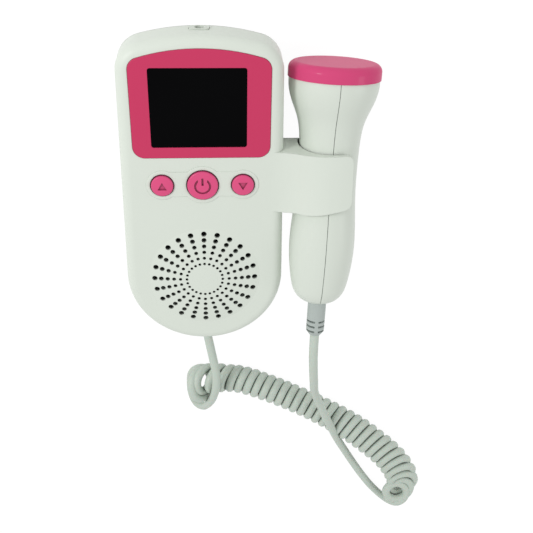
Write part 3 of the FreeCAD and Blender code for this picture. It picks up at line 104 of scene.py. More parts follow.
# How the coil lies: turn, mm along its route, mm aside (across, along), height of its
# middle, radius, and the way that the turn faces.  The loose turns at the ends lean over.
TURNS = (
    (0.0, 0.0, -1.6, 2.6, 8.0, 7.30, (0.69, 0.32, 0.65)),
    (0.5, 1.2, -1.8, 1.7, 8.2, 7.60, (0.69, 0.32, 0.65)),
    (1.0, 2.4, -2.3, 2.2, 8.0, 6.10, (0.70, 0.31, 0.64)),
    (1.5, 4.2, -3.6, 2.3, 7.8, 5.80, (0.74, 0.28, 0.62)),
    (2.0, 6.2, -3.3, 1.5, 7.6, 5.60, (0.78, 0.22, 0.58)),
    (3.0, 9.5, -0.5, -0.1, 7.2, 5.40, (0.86, 0.08, 0.51)),
    (4.0, 14.1, -0.1, -1.0, 6.9, 5.00, (0.90, -0.03, 0.44)),
    (5.0, 18.1, -0.1, -1.0, 6.7, 4.85, (0.92, -0.09, 0.39)),
    (8.0, 31.7, -0.7, -1.4, 6.7, 4.86, (0.92, -0.15, 0.36)),
    (12.0, 50.0, -0.9, -1.5, 6.7, 4.90, (0.92, -0.17, 0.36)),
    (15.0, 64.1, -0.7, -1.4, 6.6, 5.10, (0.89, -0.21, 0.41)),
    (18.0, 79.0, -0.7, -1.2, 6.6, 5.50, (0.83, -0.27, 0.49)),
    (21.0, 94.9, -1.0, -0.9, 6.6, 5.90, (0.76, -0.31, 0.57)),
    (23.0, 105.8, -1.0, -0.8, 6.7, 6.03, (0.70, -0.34, 0.63)),
    (25.0, 116.7, -0.5, -0.7, 6.8, 6.24, (0.61, -0.35, 0.71)),
    (27.0, 128.9, -0.4, -0.3, 6.8, 6.60, (0.45, -0.36, 0.82)),
    (28.5, 138.6, -0.4, -0.4, 6.6, 6.80, (0.25, -0.31, 0.92)),
    (29.5, 145.7, -1.1, -1.0, 5.2, 6.80, (0.09, -0.16, 0.98)),
    (30.2, 147.0, -3.3, -1.4, 7.2, 6.30, (0.03, 0.03, 1.00)),
    (30.8, 147.0, -5.6, -1.6, 9.2, 5.70, (0.00, 0.19, 0.98)),
    (31.5, 147.0, -5.0, -4.4, 7.4, 5.80, (-0.02, 0.32, 0.95)),
)
# A turn starts at its top, which is its point that lies furthest this way.
UPWARD = Vector((0.017, 0.846, -0.533))


def linear(code):
    """An sRGB hex colour as linear numbers."""
    parts = [int(code[index:index + 2], 16) / 255 for index in (0, 2, 4)]
    return [p / 12.92 if p <= 0.04045 else ((p + 0.055) / 1.055) ** 2.4 for p in parts]


def colour_property(name, description, code):
    return bpy.props.FloatVectorProperty(
        name=name, description=description, subtype="COLOR", size=3, min=0, max=1,
        default=linear(code))


def length_property(name, description, default):
    return bpy.props.FloatProperty(
        name=name, description=description, default=default, min=0, unit="LENGTH")


class DopplerColours(bpy.types.PropertyGroup):
    casing: colour_property("Casing", "Pale moulded shells of the unit", "DBE2D8")
    probe: colour_property("Probe", "Pale moulded shells of the probe", "D9E0D6")
    bezel: colour_property("Display plate", "Printed plate round the display", "C93560")
    screen: colour_property("Window", "Dark window over the display", "060607")
    keys: colour_property("Keys", "Keys and the cap of the probe", "DD4E80")
    cord: colour_property("Cord", "Jacket of the cord", "C1CCC1")
    boot: colour_property("Boot", "Strain relief of the probe", "B0B9B5")


class DopplerCord(bpy.types.PropertyGroup):
    wire: length_property("Diameter", "Thickness of the cord", 0.0040)
    swell: bpy.props.FloatProperty(
        name="Swell", description="Thickness of the coiled part by the plain ends", default=1.08)
    length: length_property("Length", "Whole length of the cord, its turns and its tails", 1.38)
    steps: bpy.props.IntProperty(
        name="Points a turn", description="Route points in each turn", default=14, min=12)


class DopplerKeys(bpy.types.PropertyGroup):
    ring: length_property("Ring", "Radius of the open ring of the power sign", 0.0029)
    stroke: length_property("Stroke", "Width of the lines sunk into a key", 0.0008)
    sink: length_property("Sink", "Depth of the sign sunk into a key", 0.0007)


class DopplerStudio(bpy.types.PropertyGroup):
    lens: bpy.props.FloatProperty(
        name="Lens", description="Focal length of the camera", default=55.72, unit="CAMERA")
    softbox: bpy.props.FloatProperty(
        name="Softbox", description="Power of the right softbox in watts", default=0.6, min=0)
    key_light: bpy.props.FloatProperty(
        name="Key light", description="Power of the left softbox in watts", default=2.4, min=0)
    ambient: bpy.props.FloatProperty(
        name="Ambient", description="Light from the white room", default=0.71, min=0)
    floor: length_property("Floor", "Side of the floor", 6.0)


def add_node(tree, kind, settings=None, inputs=None, links=None):
    """Add a node with its own settings, its socket values and what feeds its sockets."""
    node = tree.nodes.new(kind)
    for name, setting in (settings or {}).items():
        setattr(node, name, setting)
    for name, number in (inputs or {}).items():
        node.inputs[name].default_value = number
    for name, source in (links or {}).items():
        tree.links.new(source, node.inputs[name])
    return node


def new_material(name):
    """An empty node material and its output."""
    material = bpy.data.materials.new(name)
    material.use_nodes = True
    material.node_tree.nodes.clear()
    output = material.node_tree.nodes.new("ShaderNodeOutputMaterial")
    return material, material.node_tree, output


def tinted(colour, factor):
    """A linear colour made lighter or darker, with an alpha of one."""
    return [min(1.0, part * factor) for part in colour[:3]] + [1.0]


def finish(name, colour, roughness, mottle=0.03, flow=18.0, grain=0.5, relief=0.01,
           edge=0.0, wear=1.12, painted_hollow_shade=None, sockets=None):
    """A finish from what it is: mottle in the colour over flow mm, and a grain in mm
    that stands up by relief mm.  Edges are eased by edge mm and lighter by wear.
    Hollows are darkened with painted shade, given as how wide in mm a hollow is that fills with
    it, how open it is where the painted shade starts and where it is full, and how dark it gets."""
    material, tree, output = new_material(name)
    place = add_node(tree, "ShaderNodeTexCoord").outputs["Object"]
    cloud = add_node(tree, "ShaderNodeTexNoise",
                     inputs={"Scale": 1 / (flow * MM), "Detail": 3.0}, links={"Vector": place})
    blend = add_node(tree, "ShaderNodeMix", {"data_type": "RGBA"})
    tree.links.new(cloud.outputs["Fac"], blend.inputs["Factor"])
    blend.inputs[6].default_value = tinted(colour, 1 - mottle)
    blend.inputs[7].default_value = tinted(colour, 1 + mottle)
    shade = blend.outputs[2]
    grit = add_node(tree, "ShaderNodeTexNoise", inputs={"Scale": 1 / (grain * MM)},
                    links={"Vector": place})
    bump = add_node(tree, "ShaderNodeBump", inputs={"Strength": 1.0, "Distance": relief * MM},
                    links={"Height": grit.outputs["Fac"]})
    if edge:
        eased = add_node(tree, "ShaderNodeBevel", {"samples": 4}, {"Radius": edge * MM})
        tree.links.new(eased.outputs["Normal"], bump.inputs["Normal"])
        flat = add_node(tree, "ShaderNodeNewGeometry").outputs["Normal"]
        turn = add_node(tree, "ShaderNodeVectorMath", {"operation": "DOT_PRODUCT"})
        tree.links.new(eased.outputs["Normal"], turn.inputs[0])
        tree.links.new(flat, turn.inputs[1])
        # An edge is rubbed where its eased face turns 8 degrees from the flat one, and
        # most where it turns 37, given here as their cosines.
        rub = add_node(tree, "ShaderNodeMapRange",
                       inputs={"From Min": 0.99, "From Max": 0.8, "To Min": 0.0, "To Max": 0.7},
                       links={"Value": turn.outputs["Value"]})
        worn = add_node(tree, "ShaderNodeMix", {"data_type": "RGBA"})
        tree.links.new(rub.outputs["Result"], worn.inputs["Factor"])
        tree.links.new(shade, worn.inputs[6])
        worn.inputs[7].default_value = tinted(colour, wear)
        shade = worn.outputs[2]
    # Painted shade: where ambient occlusion finds a closed hollow, the colour is mixed towards
    # near black.
    if painted_hollow_shade:
        width, start, end, dark = painted_hollow_shade
        open_to = add_node(tree, "ShaderNodeAmbientOcclusion", {"samples": 8},
                           {"Distance": width * MM})
        depth = add_node(tree, "ShaderNodeMapRange",
                         inputs={"From Min": start, "From Max": end, "To Max": dark},
                         links={"Value": open_to.outputs["AO"]})
        painted_shade_mix = add_node(tree, "ShaderNodeMix", {"data_type": "RGBA"})
        tree.links.new(depth.outputs["Result"], painted_shade_mix.inputs["Factor"])
        tree.links.new(shade, painted_shade_mix.inputs[6])
        painted_shade_mix.inputs[7].default_value = tinted(colour, 0.02)
        shade = painted_shade_mix.outputs[2]
    sheen = add_node(tree, "ShaderNodeMapRange",
                     inputs={"To Min": roughness * 0.9, "To Max": min(1.0, roughness * 1.12)},
                     links={"Value": cloud.outputs["Fac"]})
    shader = add_node(tree, "ShaderNodeBsdfPrincipled", inputs=sockets,
                      links={"Base Color": shade, "Roughness": sheen.outputs["Result"],
                             "Normal": bump.outputs["Normal"]})
    tree.links.new(shader.outputs["BSDF"], output.inputs["Surface"])
    return material


def wear_finish(material, *pieces):
    """Put a material on pieces or CAD nodes, in every slot that they have."""
    for piece in pieces:
        piece = NODES[piece] if isinstance(piece, str) else piece
        if not piece.material_slots:
            piece.data.materials.append(material)
        for slot in piece.material_slots:
            slot.material = material


def deselect():
    for thing in bpy.context.selected_objects:
        thing.select_set(False)


def make_active(piece):
    deselect()
    piece.select_set(True)
    bpy.context.view_layer.objects.active = piece


def turned(name, profile, middle, sides=72):
    """A solid turned about +Z: a disc, extruded and scaled from ring to ring."""
    deselect()
    radius, height = profile[0]
    centre = Vector((middle[0], middle[1], 0))
    bpy.ops.mesh.primitive_circle_add(vertices=sides, radius=radius, fill_type="NGON",
                                      location=centre + Vector((0, 0, height)))
    piece = bpy.context.active_object
    piece.name = name
    bpy.ops.object.mode_set(mode="EDIT")
    for wider, higher in profile[1:]:
        bpy.ops.mesh.extrude_region_move(
            TRANSFORM_OT_translate={"value": (0, 0, higher - height)})
        bpy.ops.transform.resize(value=(wider / radius, wider / radius, 1),
                                 center_override=centre + Vector((0, 0, higher)))
        radius, height = wider, higher
    bpy.ops.mesh.select_all(action="SELECT")
    bpy.ops.mesh.normals_make_consistent(inside=False)
    bpy.ops.object.mode_set(mode="OBJECT")
    bpy.ops.object.transform_apply(location=True, rotation=True, scale=True)
    return piece


def carve(piece, cutter, operation="DIFFERENCE"):
    """Cut or join one solid with another and throw the tool away."""
    make_active(piece)
    tool = piece.modifiers.new("Carve", "BOOLEAN")
    tool.operation = operation
    tool.solver = "EXACT"
    tool.object = cutter
    bpy.ops.object.modifier_apply(modifier=tool.name)
    bpy.data.objects.remove(cutter)


def smooth(piece, degrees=35):
    make_active(piece)
    bpy.ops.object.shade_smooth_by_angle(angle=math.radians(degrees))


def nurbs(name, points, thickness=0.0):
    """One open NURBS spline through a route, as thick as a cord or bare."""
    data = bpy.data.curves.new(name, "CURVE")
    data.dimensions = "3D"
    spline = data.splines.new("NURBS")
    spline.points.add(len(points) - 1)
    for spot, point in zip(points, spline.points):
        point.co = (*spot, 1)
    spline.order_u = 3
    spline.use_endpoint_u = True
    spline.resolution_u = 6
    data.bevel_depth = thickness / 2
    data.bevel_resolution = 3
    data.use_fill_caps = thickness > 0
    piece = bpy.data.objects.new(name, data)
    bpy.context.scene.collection.objects.link(piece)
    return piece


def line_of(points):
    """The points along a route's own smooth line."""
    guide = nurbs("guide", points)
    mesh = bpy.data.meshes.new_from_object(guide)
    found = [vertex.co.copy() for vertex in mesh.vertices]
    bpy.data.meshes.remove(mesh)
    bpy.data.objects.remove(guide)
    return found


def between(table, number):
    """The row of a table at a number, from the two rows whose first numbers hold it."""
    for before, after in zip(table, table[1:]):
        if number <= after[0]:
            break
    share = (number - before[0]) / (after[0] - before[0])
    plain = [low + (high - low) * share for low, high in zip(before[1:-1], after[1:-1])]
    return plain, Vector(before[-1]).lerp(Vector(after[-1]), share).normalized()


class DOPPLER_OT_cord(bpy.types.Operator):
    """Wind the cord from the unit's foot through its coil to the probe"""
    bl_idname = "doppler.cord"
    bl_label = "Curly cord"

    def execute(self, context):
        cord = context.scene.doppler_cord
        colours = context.scene.doppler_colours
        turns = self.helix(cord)
        route = UNIT_TAIL + turns + PROBE_TAIL[::-1]
        piece = nurbs("curly_cord", route, cord.wire)
        coiled = piece.data.splines[0].points[len(UNIT_TAIL):len(UNIT_TAIL) + len(turns)]
        for point in coiled:
            point.radius = cord.swell
        make_active(piece)
        bpy.ops.object.convert(target="MESH")
        # Extruded TPU: satin, with drawing lines far finer than the turns, and painted shade
        # where the turns lie close together.
        jacket = finish("tpu_cord_extruded_satin", colours.cord, 0.48, mottle=0.02, flow=12,
                        grain=0.45, relief=0.012, painted_hollow_shade=(2.5, 0.6, 0.2, 0.5),
                        sockets={"IOR": 1.5, "Subsurface Weight": 0.06,
                                 "Subsurface Scale": 0.001})
        wear_finish(jacket, piece)
        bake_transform(piece)
        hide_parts("cord_unit_tail", "cord_coil", "cord_probe_tail")
        line_of(route)
        return {"FINISHED"}

    def helix(self, cord):
        """The coil's turns, from the unit's tail to the probe's."""
        line = line_of(COIL)
        reach = [0.0]
        for before, after in zip(line, line[1:]):
            reach.append(reach[-1] + (after - before).length)
        # The spline cuts inside its control points, so they stand this much further out.
        outward = MM / math.cos(math.pi / cord.steps)
        found = []
        for index in range(int(TURNS[-1][0] * cord.steps) + 1):
            turn = index / cord.steps
            (along, across, aside, height, radius), faces = between(TURNS, turn)
            after = next(i for i in range(1, len(line)) if reach[i] >= along * MM)
            share = (along * MM - reach[after - 1]) / (reach[after] - reach[after - 1])
            middle = line[after - 1].lerp(line[after], share)
            middle += Vector((across, aside, height)) * MM
            top = (UPWARD - UPWARD.dot(faces) * faces).normalized()
            near = faces.cross(top)
            angle = turn * 2 * math.pi
            ray = top * math.cos(angle) - near * math.sin(angle)
            spot = middle + ray * radius * outward
            found.append((spot.x, spot.y, max(spot.z, cord.wire * cord.swell / 2)))
        return found


class DOPPLER_OT_stage(bpy.types.Operator):
    """Set the camera, the pale floor, the white room and two softboxes"""
    bl_idname = "doppler.stage"
    bl_label = "Stage"

    CAMERA_PLACE = (-0.01417, 0.15434, 0.32496)
    CAMERA_AXES = ((0.99795, 0.01702, -0.06176),
                   (0.01859, 0.84566, 0.53340),
                   (0.06131, -0.53345, 0.84361))
    FLOOR_UNDER = 0.0001  # how far the floor lies under the object
    SOFTBOX_SIDE = 0.2
    LEFT_PLACE = (-0.56, 0.34, 0.54)
    RIGHT_PLACE = (0.74, -0.06, 0.46)
    LIT_PLACE = (0.01, -0.05, 0.02)

    def execute(self, context):
        studio = context.scene.doppler_studio
        self.camera(context, studio)
        self.floor(studio)
        self.room(context, studio)
        self.softbox(context, "softbox_left", self.LEFT_PLACE, studio.key_light)
        self.softbox(context, "softbox_right", self.RIGHT_PLACE, studio.softbox)
        context.scene.view_settings.view_transform = "Standard"
        return {"FINISHED"}

    def softbox(self, context, name, place, power):
        """A square lamp in watts, turned to the middle of the object."""
        lamp = bpy.data.lights.new(name, "AREA")
        lamp.shape = "SQUARE"
        lamp.size = self.SOFTBOX_SIDE
        lamp.energy = power
        light = bpy.data.objects.new(name, lamp)
        light.location = place
        aim = Vector(self.LIT_PLACE) - Vector(place)
        light.rotation_euler = aim.to_track_quat("-Z", "Y").to_euler()
        context.scene.collection.objects.link(light)

    def camera(self, context, studio):
        data = bpy.data.cameras.new("camera")
        data.lens = studio.lens
        data.sensor_width = 36
        data.clip_start = 0.01
        camera = bpy.data.objects.new("camera", data)
        camera.matrix_world = (Matrix.Translation(self.CAMERA_PLACE)
                               @ Matrix(self.CAMERA_AXES).to_4x4())
        context.scene.collection.objects.link(camera)
        context.scene.camera = camera

    def seen(self, tree):
        """One for rays that show the background, nought for rays that light the object."""
        path = add_node(tree, "ShaderNodeLightPath")
        shown = path.outputs["Is Camera Ray"]
        for kind in ("Is Glossy Ray", "Is Transmission Ray"):
            either = add_node(tree, "ShaderNodeMath", {"operation": "MAXIMUM"})
            tree.links.new(shown, either.inputs[0])
            tree.links.new(path.outputs[kind], either.inputs[1])
            shown = either.outputs[0]
        return shown

    def floor(self, studio):
        """Matt paper that takes a faint shadow and otherwise shows as white."""
        deselect()
        bpy.ops.mesh.primitive_plane_add(size=studio.floor, location=(0, 0, -self.FLOOR_UNDER))
        floor = bpy.context.active_object
        floor.name = "floor"
        bpy.ops.object.transform_apply(location=True, rotation=True, scale=True)
        material, tree, output = new_material("paper_backdrop_matt")
        matt = add_node(tree, "ShaderNodeBsdfDiffuse", inputs={"Color": (0.85, 0.85, 0.85, 1)})
        # Nine tenths of the floor that is seen is plain white, and a little over, so
        # that only the shadow under the object is darker than white.
        white = add_node(tree, "ShaderNodeEmission", inputs={"Strength": 1.06})
        share = add_node(tree, "ShaderNodeMath", {"operation": "MULTIPLY"})
        share.inputs[1].default_value = 0.9
        tree.links.new(self.seen(tree), share.inputs[0])
        mixed = add_node(tree, "ShaderNodeMixShader", links={"Fac": share.outputs[0]})
        tree.links.new(matt.outputs[0], mixed.inputs[1])
        tree.links.new(white.outputs[0], mixed.inputs[2])
        tree.links.new(mixed.outputs[0], output.inputs["Surface"])
        wear_finish(material, floor)

    def room(self, context, studio):
        """A white room that lights the object at its own level."""
        world = bpy.data.worlds.new("white_room")
        world.use_nodes = True
        context.scene.world = world
        tree = world.node_tree
        tree.nodes.clear()
        output = tree.nodes.new("ShaderNodeOutputWorld")
        light = add_node(tree, "ShaderNodeBackground",
                         inputs={"Color": (1, 1, 1, 1), "Strength": studio.ambient})
        white = add_node(tree, "ShaderNodeBackground",
                         inputs={"Color": (1, 1, 1, 1), "Strength": 1.0})
        mixed = add_node(tree, "ShaderNodeMixShader", links={"Fac": self.seen(tree)})
        tree.links.new(light.outputs[0], mixed.inputs[1])
        tree.links.new(white.outputs[0], mixed.inputs[2])
        tree.links.new(mixed.outputs[0], output.inputs["Surface"])


class DOPPLER_OT_shells(bpy.types.Operator):
    """Give the unit's and the probe's moulded shells their finishes"""
    bl_idname = "doppler.shells"
    bl_label = "Moulded shells"

    def execute(self, context):
        colours = context.scene.doppler_colours
        # ABS from a spark-eroded mould: an even, silky face.  The grain of a real
        # one is 0.1 mm, too fine to show, so it is drawn at 0.5 mm.
        # Painted shade: the grille's holes and the gaps round the keys and parts are darkened
        # almost to black.
        casing = finish("abs_casing_spark_eroded", colours.casing, 0.42, mottle=0.012, flow=30,
                        grain=0.5, relief=0.006, edge=0.35, wear=1.06,
                        painted_hollow_shade=(2.5, 0.55, 0.25, 0.97),
                        sockets={"IOR": 1.53, "Specular IOR Level": 0.3})
        # The probe is the same plastic, polished a little by the hand that holds it.
        probe = finish("abs_probe_spark_eroded", colours.probe, 0.38, mottle=0.012, flow=24,
                       grain=0.5, relief=0.005, edge=0.25, wear=1.05,
                       sockets={"IOR": 1.53, "Specular IOR Level": 0.3})
        # A later moulding in the same plastic: a touch darker and more matt.
        cover = finish("abs_battery_cover_moulded", tinted(colours.casing, 0.97), 0.45,
                       mottle=0.015, flow=20, grain=0.5, relief=0.008, edge=0.35, wear=1.06,
                       sockets={"IOR": 1.53})
        wear_finish(casing, "front_shell", "rear_shell")
        wear_finish(probe, "probe_shell_left", "probe_shell_right")
        wear_finish(cover, "battery_cover")
        return {"FINISHED"}


class DOPPLER_OT_display(bpy.types.Operator):
    """Give the display's coloured plate and dark window their finishes"""
    bl_idname = "doppler.display"
    bl_label = "Display"

    def execute(self, context):
        colours = context.scene.doppler_colours
        # Polycarbonate film printed on its back: an even colour under a fine satin.
        plate = finish("polycarbonate_plate_back_printed", colours.bezel, 0.36, mottle=0.015,
                       flow=25, grain=0.4, relief=0.003, edge=0.15, wear=1.15,
                       sockets={"IOR": 1.58, "Specular IOR Level": 0.22})
        # Cast acrylic with a dark back and a coat against glare.
        window = finish("acrylic_window_smoked", colours.screen, 0.12, mottle=0.2, flow=30,
                        grain=2.0, relief=0.0005, edge=0.1, wear=3.0,
                        sockets={"IOR": 1.49, "Specular IOR Level": 0.02})
        wear_finish(plate, "bezel")
        wear_finish(window, "display_window")
        return {"FINISHED"}


class DOPPLER_OT_keys(bpy.types.Operator):
    """Turn the three crowned keys and sink their signs"""
    bl_idname = "doppler.keys"
    bl_label = "Keys"

    STEM = 0.0019  # radius of the stem
    FLANGE = 0.0011  # how far the flange stands out round the cap
    FLANGE_LOW = 0.0034  # how far under the face the flange's two sides lie
    FLANGE_HIGH = 0.0024
    CROWN = 0.0006  # radius of the round at the cap's rim
    DOME = 0.0004  # height of the dome on the cap
    ARROW = 0.0021  # from the middle of a triangle to its points
    SIGN_DROP = 0.0004  # how far a triangle's middle lies behind the key's
    OPENING = 0.0036  # width of the opening in the power sign's ring
    BAR = 0.0030  # length of the bar in it
    BAR_UP = 0.0019  # from the sign's middle to the bar's
    CUT = 0.004  # height of the tools that sink the signs

    def execute(self, context):
        keys = context.scene.doppler_keys
        # ABS polished on top by thumbs: a soft highlight round the rim.
        # Painted shade darkens the sunk signs and the gaps at the keys' rims.
        plastic = finish("abs_key_polished", context.scene.doppler_colours.keys, 0.34,
                         mottle=0.015, flow=6, grain=0.4, relief=0.004, edge=0.2, wear=1.12,
                         painted_hollow_shade=(2.5, 0.96, 0.5, 0.5),
                         sockets={"IOR": 1.53, "Specular IOR Level": 0.3,
                                  "Coat Weight": 0.08, "Coat Roughness": 0.25})
        for name, radius in KEYS:
            key = self.key(name, radius)
            low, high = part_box(name + "_button")
            middle = (low + high) / 2
            middle.z = high.z - keys.sink + self.CUT / 2
            if name == "power":
                self.sink_power_sign(key, middle, keys)
            else:
                self.sink_arrow(key, middle, 1 if name == "up" else -1)
            smooth(key, 30)
            wear_finish(plastic, key)
            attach(key, name + "_key")
            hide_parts(name + "_button")
        return {"FINISHED"}

    def key(self, name, radius):
        """A stem and a flange under the face, and a crowned cap through it."""
        low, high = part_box(name + "_button")
        rim = high.z - self.DOME
        flange = radius + self.FLANGE
        under, over = FACE - self.FLANGE_LOW, FACE - self.FLANGE_HIGH
        profile = [(self.STEM, low.z), (self.STEM, under), (flange, under), (flange, over),
                   (radius, over), (radius, rim - self.CROWN)]
        for step in range(1, 7):
            turn = step * math.pi / 12
            profile.append((radius - self.CROWN * (1 - math.cos(turn)),
                            rim - self.CROWN * (1 - math.sin(turn))))
        for step in range(1, 8):
            share = 1 - step / 8
            profile.append(((radius - self.CROWN) * share,
                            rim + self.DOME * (1 - share ** 2)))
        return turned(name + "_key_cap", profile, (low + high) / 2)

    def sink_power_sign(self, key, middle, keys):
        """An open ring, then a bar through the ring's gap."""
        deselect()
        bpy.ops.mesh.primitive_cylinder_add(
            vertices=64, radius=keys.ring + keys.stroke / 2, depth=self.CUT,
            location=middle)
        sign = bpy.context.active_object
        deselect()
        through = self.CUT * 1.5
        bpy.ops.mesh.primitive_cylinder_add(
            vertices=64, radius=keys.ring - keys.stroke / 2, depth=through,
            location=middle)
        carve(sign, bpy.context.active_object)
        carve(sign, self.block(middle, keys.ring, (self.OPENING, self.BAR, through)))
        carve(key, sign)
        carve(key, self.block(middle, self.BAR_UP, (keys.stroke, self.BAR, self.CUT)))

    def block(self, middle, upward, size):
        """A box whose middle lies upward of a sign's middle."""
        deselect()
        bpy.ops.mesh.primitive_cube_add(size=1, location=middle + Vector((0, upward, 0)))
        block = bpy.context.active_object
        block.scale = size
        bpy.ops.object.transform_apply(location=True, rotation=True, scale=True)
        return block

    def sink_arrow(self, key, middle, way):
        """A triangle that points to the head, or with way -1 to the foot."""
        deselect()
        bpy.ops.mesh.primitive_cylinder_add(
            vertices=3, radius=self.ARROW, depth=self.CUT,
            location=middle - Vector((0, self.SIGN_DROP * way, 0)),
            rotation=(0, 0, 0 if way > 0 else math.pi))
        carve(key, bpy.context.active_object)


class DOPPLER_OT_surround(bpy.types.Operator):
    """Raise the thin step that runs round the three keys"""
    bl_idname = "doppler.surround"
    bl_label = "Key surround"

    THICK = 0.0004
    RISE = 0.00018  # how far the step stands over the face
    BAND = 0.0106  # width of its straight part
    SHIFT = 0.0003  # how far that lies from the keys' middles
    ROUND = 0.0019  # how wide it is round each key
    GAP = 0.0004  # how far it stays off each key
    EASE = 0.00012  # width of its eased edges

    def execute(self, context):
        high = FACE + self.RISE - self.THICK / 2
        rings = [(middle_of(name + "_button"), radius) for name, radius in KEYS]
        span = rings[2][0] - rings[0][0]
        deselect()
        bpy.ops.mesh.primitive_cube_add(
            size=1, location=(rings[1][0].x, rings[1][0].y + self.SHIFT, high))
        piece = bpy.context.active_object
        piece.name = "key_surround"
        piece.scale = (span.x, self.BAND, self.THICK)
        bpy.ops.object.transform_apply(location=True, rotation=True, scale=True)
        for grow, depth, operation in ((self.ROUND, self.THICK, "UNION"),
                                       (self.GAP, self.THICK * 5, "DIFFERENCE")):
            for middle, radius in rings:
                deselect()
                bpy.ops.mesh.primitive_cylinder_add(
                    vertices=96, radius=radius + grow, depth=depth,
                    location=(middle.x, middle.y, high))
                carve(piece, bpy.context.active_object, operation)
        make_active(piece)
        ease = piece.modifiers.new("Ease", "BEVEL")
        ease.width = self.EASE
        ease.segments = 2
        ease.limit_method = "ANGLE"
        ease.angle_limit = math.radians(50)
        bpy.ops.object.modifier_apply(modifier=ease.name)
        smooth(piece, 40)
        # The casing's finish, with its painted shade in hollows.
        wear_finish(NODES["front_shell"].material_slots[0].material, piece)
        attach(piece, "unit")
        return {"FINISHED"}


class DOPPLER_OT_fittings(bpy.types.Operator):
    """Give the cap, the boots, the socket and the screws their finishes"""
    bl_idname = "doppler.fittings"
    bl_label = "Fittings"

    def execute(self, context):
        colours = context.scene.doppler_colours
        # Polished ABS cap: a soft highlight along its rounded edge.
        cap = finish("abs_cap_polished", tinted(colours.keys, 0.93), 0.42, mottle=0.015,
                     flow=15, grain=0.5, relief=0.003, edge=0.2, wear=1.1,
                     sockets={"IOR": 1.53, "Specular IOR Level": 0.05,
                              "Coat Weight": 0.12, "Coat Roughness": 0.15})
        # Soft TPE: matt and a little greyer than the cord, as rubbery plastic is.
        boot = finish("tpe_boot_moulded_matt", colours.boot, 0.55, mottle=0.02, flow=8,
                      grain=0.4, relief=0.01, edge=0.15, wear=1.06, sockets={"IOR": 1.5})
        # PBT moulded in a smooth tool: near the casing's colour, with less shine.
        socket = finish("pbt_socket_moulded", linear("D3DAD0"), 0.5, mottle=0.02, flow=6,
                        grain=0.4, relief=0.006, edge=0.1, sockets={"IOR": 1.57})
        # Steel with bright zinc: a bluish metal, clouded by the bath.
        zinc = finish("steel_screw_zinc_plated", linear("B9BCBE"), 0.34, mottle=0.08, flow=2,
                      grain=0.3, relief=0.006, edge=0.1, sockets={"Metallic": 1.0})
        wear_finish(cap, "probe_cap")
        wear_finish(boot, "probe_strain_relief", "cord_grommet")
        wear_finish(socket, "headphone_jack")
        wear_finish(zinc, "case_screws", "board_screws")
        return {"FINISHED"}


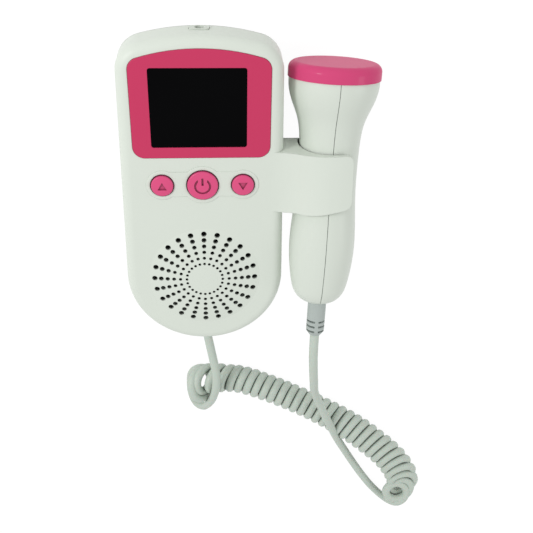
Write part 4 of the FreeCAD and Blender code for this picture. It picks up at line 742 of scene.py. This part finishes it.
class DOPPLER_OT_insides(bpy.types.Operator):
    """Give what the casing and the probe hold inside its finishes"""
    bl_idname = "doppler.insides"
    bl_label = "Insides"

    # What each is, how rough, its grain and relief in mm, its shader's own sockets, its nodes.
    PARTS = (
        # Pressed sheet: an even, satin metal.
        ("steel_display_frame_pressed", "A7ABB0", 0.35, 0.6, 0.004, {"Metallic": 1.0},
         ("lcd_module",)),
        # Amber film over copper.
        ("polyimide_ribbon_laminated", "C08A3C", 0.4, 0.8, 0.004, {"IOR": 1.7},
         ("lcd_ribbon",)),
        # Green lacquer that shows the weave of the glass under it.
        ("fr4_board_solder_mask", "1F6B43", 0.38, 0.9, 0.012, {"IOR": 1.5},
         ("main_board", "probe_board")),
        # Black glass-filled nylon: dull, with a fine tooth.
        ("nylon_switch_moulded", "26272A", 0.5, 0.4, 0.006, {"IOR": 1.53},
         ("up_switch", "power_switch", "down_switch", "probe_cable_header")),
        # Cut foam: open cells that take the light in.
        ("polyurethane_foam_cut", "1B1C1D", 0.9, 0.5, 0.08, {"IOR": 1.4},
         ("speaker_gasket",)),
        # Dipped black coat: even and half matt, so nothing shows through the grille.
        ("steel_basket_black_e_coated", "141516", 0.5, 0.6, 0.006, {"IOR": 1.5},
         ("speaker_basket",)),
        # The magnet's plated yoke: a grey metal.
        ("ferrite_magnet_zinc_yoke", "8F9396", 0.4, 0.6, 0.006, {"Metallic": 1.0},
         ("speaker_magnet",)),
        # Pressed pulp: fibrous and quite matt.
        ("paper_cone_pressed_pulp", "151413", 0.85, 0.5, 0.05, {"IOR": 1.45},
         ("speaker_cone",)),
        # Shrunk film round the cells: smooth and half glossy.
        ("pvc_sleeve_shrunk", "39404A", 0.3, 0.6, 0.004, {"IOR": 1.53},
         ("battery_left", "battery_right")),
        # Nickel: a warm, bright metal.
        ("nickel_contact_plated", "C9C6BC", 0.28, 0.5, 0.003, {"Metallic": 1.0},
         ("battery_springs", "battery_plates")),
        # Cast resin: dark, with a soft shine.
        ("epoxy_carrier_cast", "3B3A38", 0.5, 0.5, 0.01, {"IOR": 1.55},
         ("crystal_carrier",)),
        # Fired silver over ceramic: a pale metal without a mirror.
        ("ceramic_crystal_silvered", "C4C2B8", 0.4, 0.4, 0.004, {"Metallic": 1.0},
         ("transmit_crystal", "receive_crystal")),
        # Slippery red sleeving on the leads.
        ("ptfe_lead_sleeved", "B8463C", 0.45, 0.5, 0.004, {"IOR": 1.35},
         ("crystal_leads",)),
    )

    def execute(self, context):
        for name, code, roughness, grain, relief, sockets, nodes in self.PARTS:
            material = finish(name, linear(code), roughness, mottle=0.06, flow=6,
                              grain=grain, relief=relief, sockets=sockets)
            wear_finish(material, *nodes)
        return {"FINISHED"}


class DOPPLER_PT_panel(bpy.types.Panel):
    """The model's pieces and its studio, in the order in which they are made"""
    bl_idname = "DOPPLER_PT_panel"
    bl_label = "Fetal doppler"
    bl_space_type = "VIEW_3D"
    bl_region_type = "UI"
    bl_category = "Doppler"

    def draw(self, context):
        for operator in OPERATORS:
            self.layout.operator(operator.bl_idname)
        for group in GROUPS:
            settings = getattr(context.scene, group)
            for name in settings.bl_rna.properties.keys():
                if name not in ("rna_type", "name"):
                    self.layout.prop(settings, name)


OPERATORS = (DOPPLER_OT_stage, DOPPLER_OT_cord, DOPPLER_OT_shells, DOPPLER_OT_display,
             DOPPLER_OT_keys, DOPPLER_OT_surround, DOPPLER_OT_fittings, DOPPLER_OT_insides)
GROUPS = {"doppler_colours": DopplerColours, "doppler_cord": DopplerCord,
          "doppler_keys": DopplerKeys, "doppler_studio": DopplerStudio}


def register():
    for group in GROUPS.values():
        bpy.utils.register_class(group)
    for name, group in GROUPS.items():
        setattr(bpy.types.Scene, name, bpy.props.PointerProperty(type=group))
    for operator in OPERATORS:
        bpy.utils.register_class(operator)
    bpy.utils.register_class(DOPPLER_PT_panel)


def unregister():
    bpy.utils.unregister_class(DOPPLER_PT_panel)
    for operator in reversed(OPERATORS):
        bpy.utils.unregister_class(operator)
    for name, group in GROUPS.items():
        delattr(bpy.types.Scene, name)
        bpy.utils.unregister_class(group)


def main():
    register()
    bpy.ops.doppler.stage()
    bpy.ops.doppler.cord()
    bpy.ops.doppler.shells()
    bpy.ops.doppler.display()
    bpy.ops.doppler.keys()
    bpy.ops.doppler.surround()
    bpy.ops.doppler.fittings()
    bpy.ops.doppler.insides()


if __name__ == "__main__":
    main()
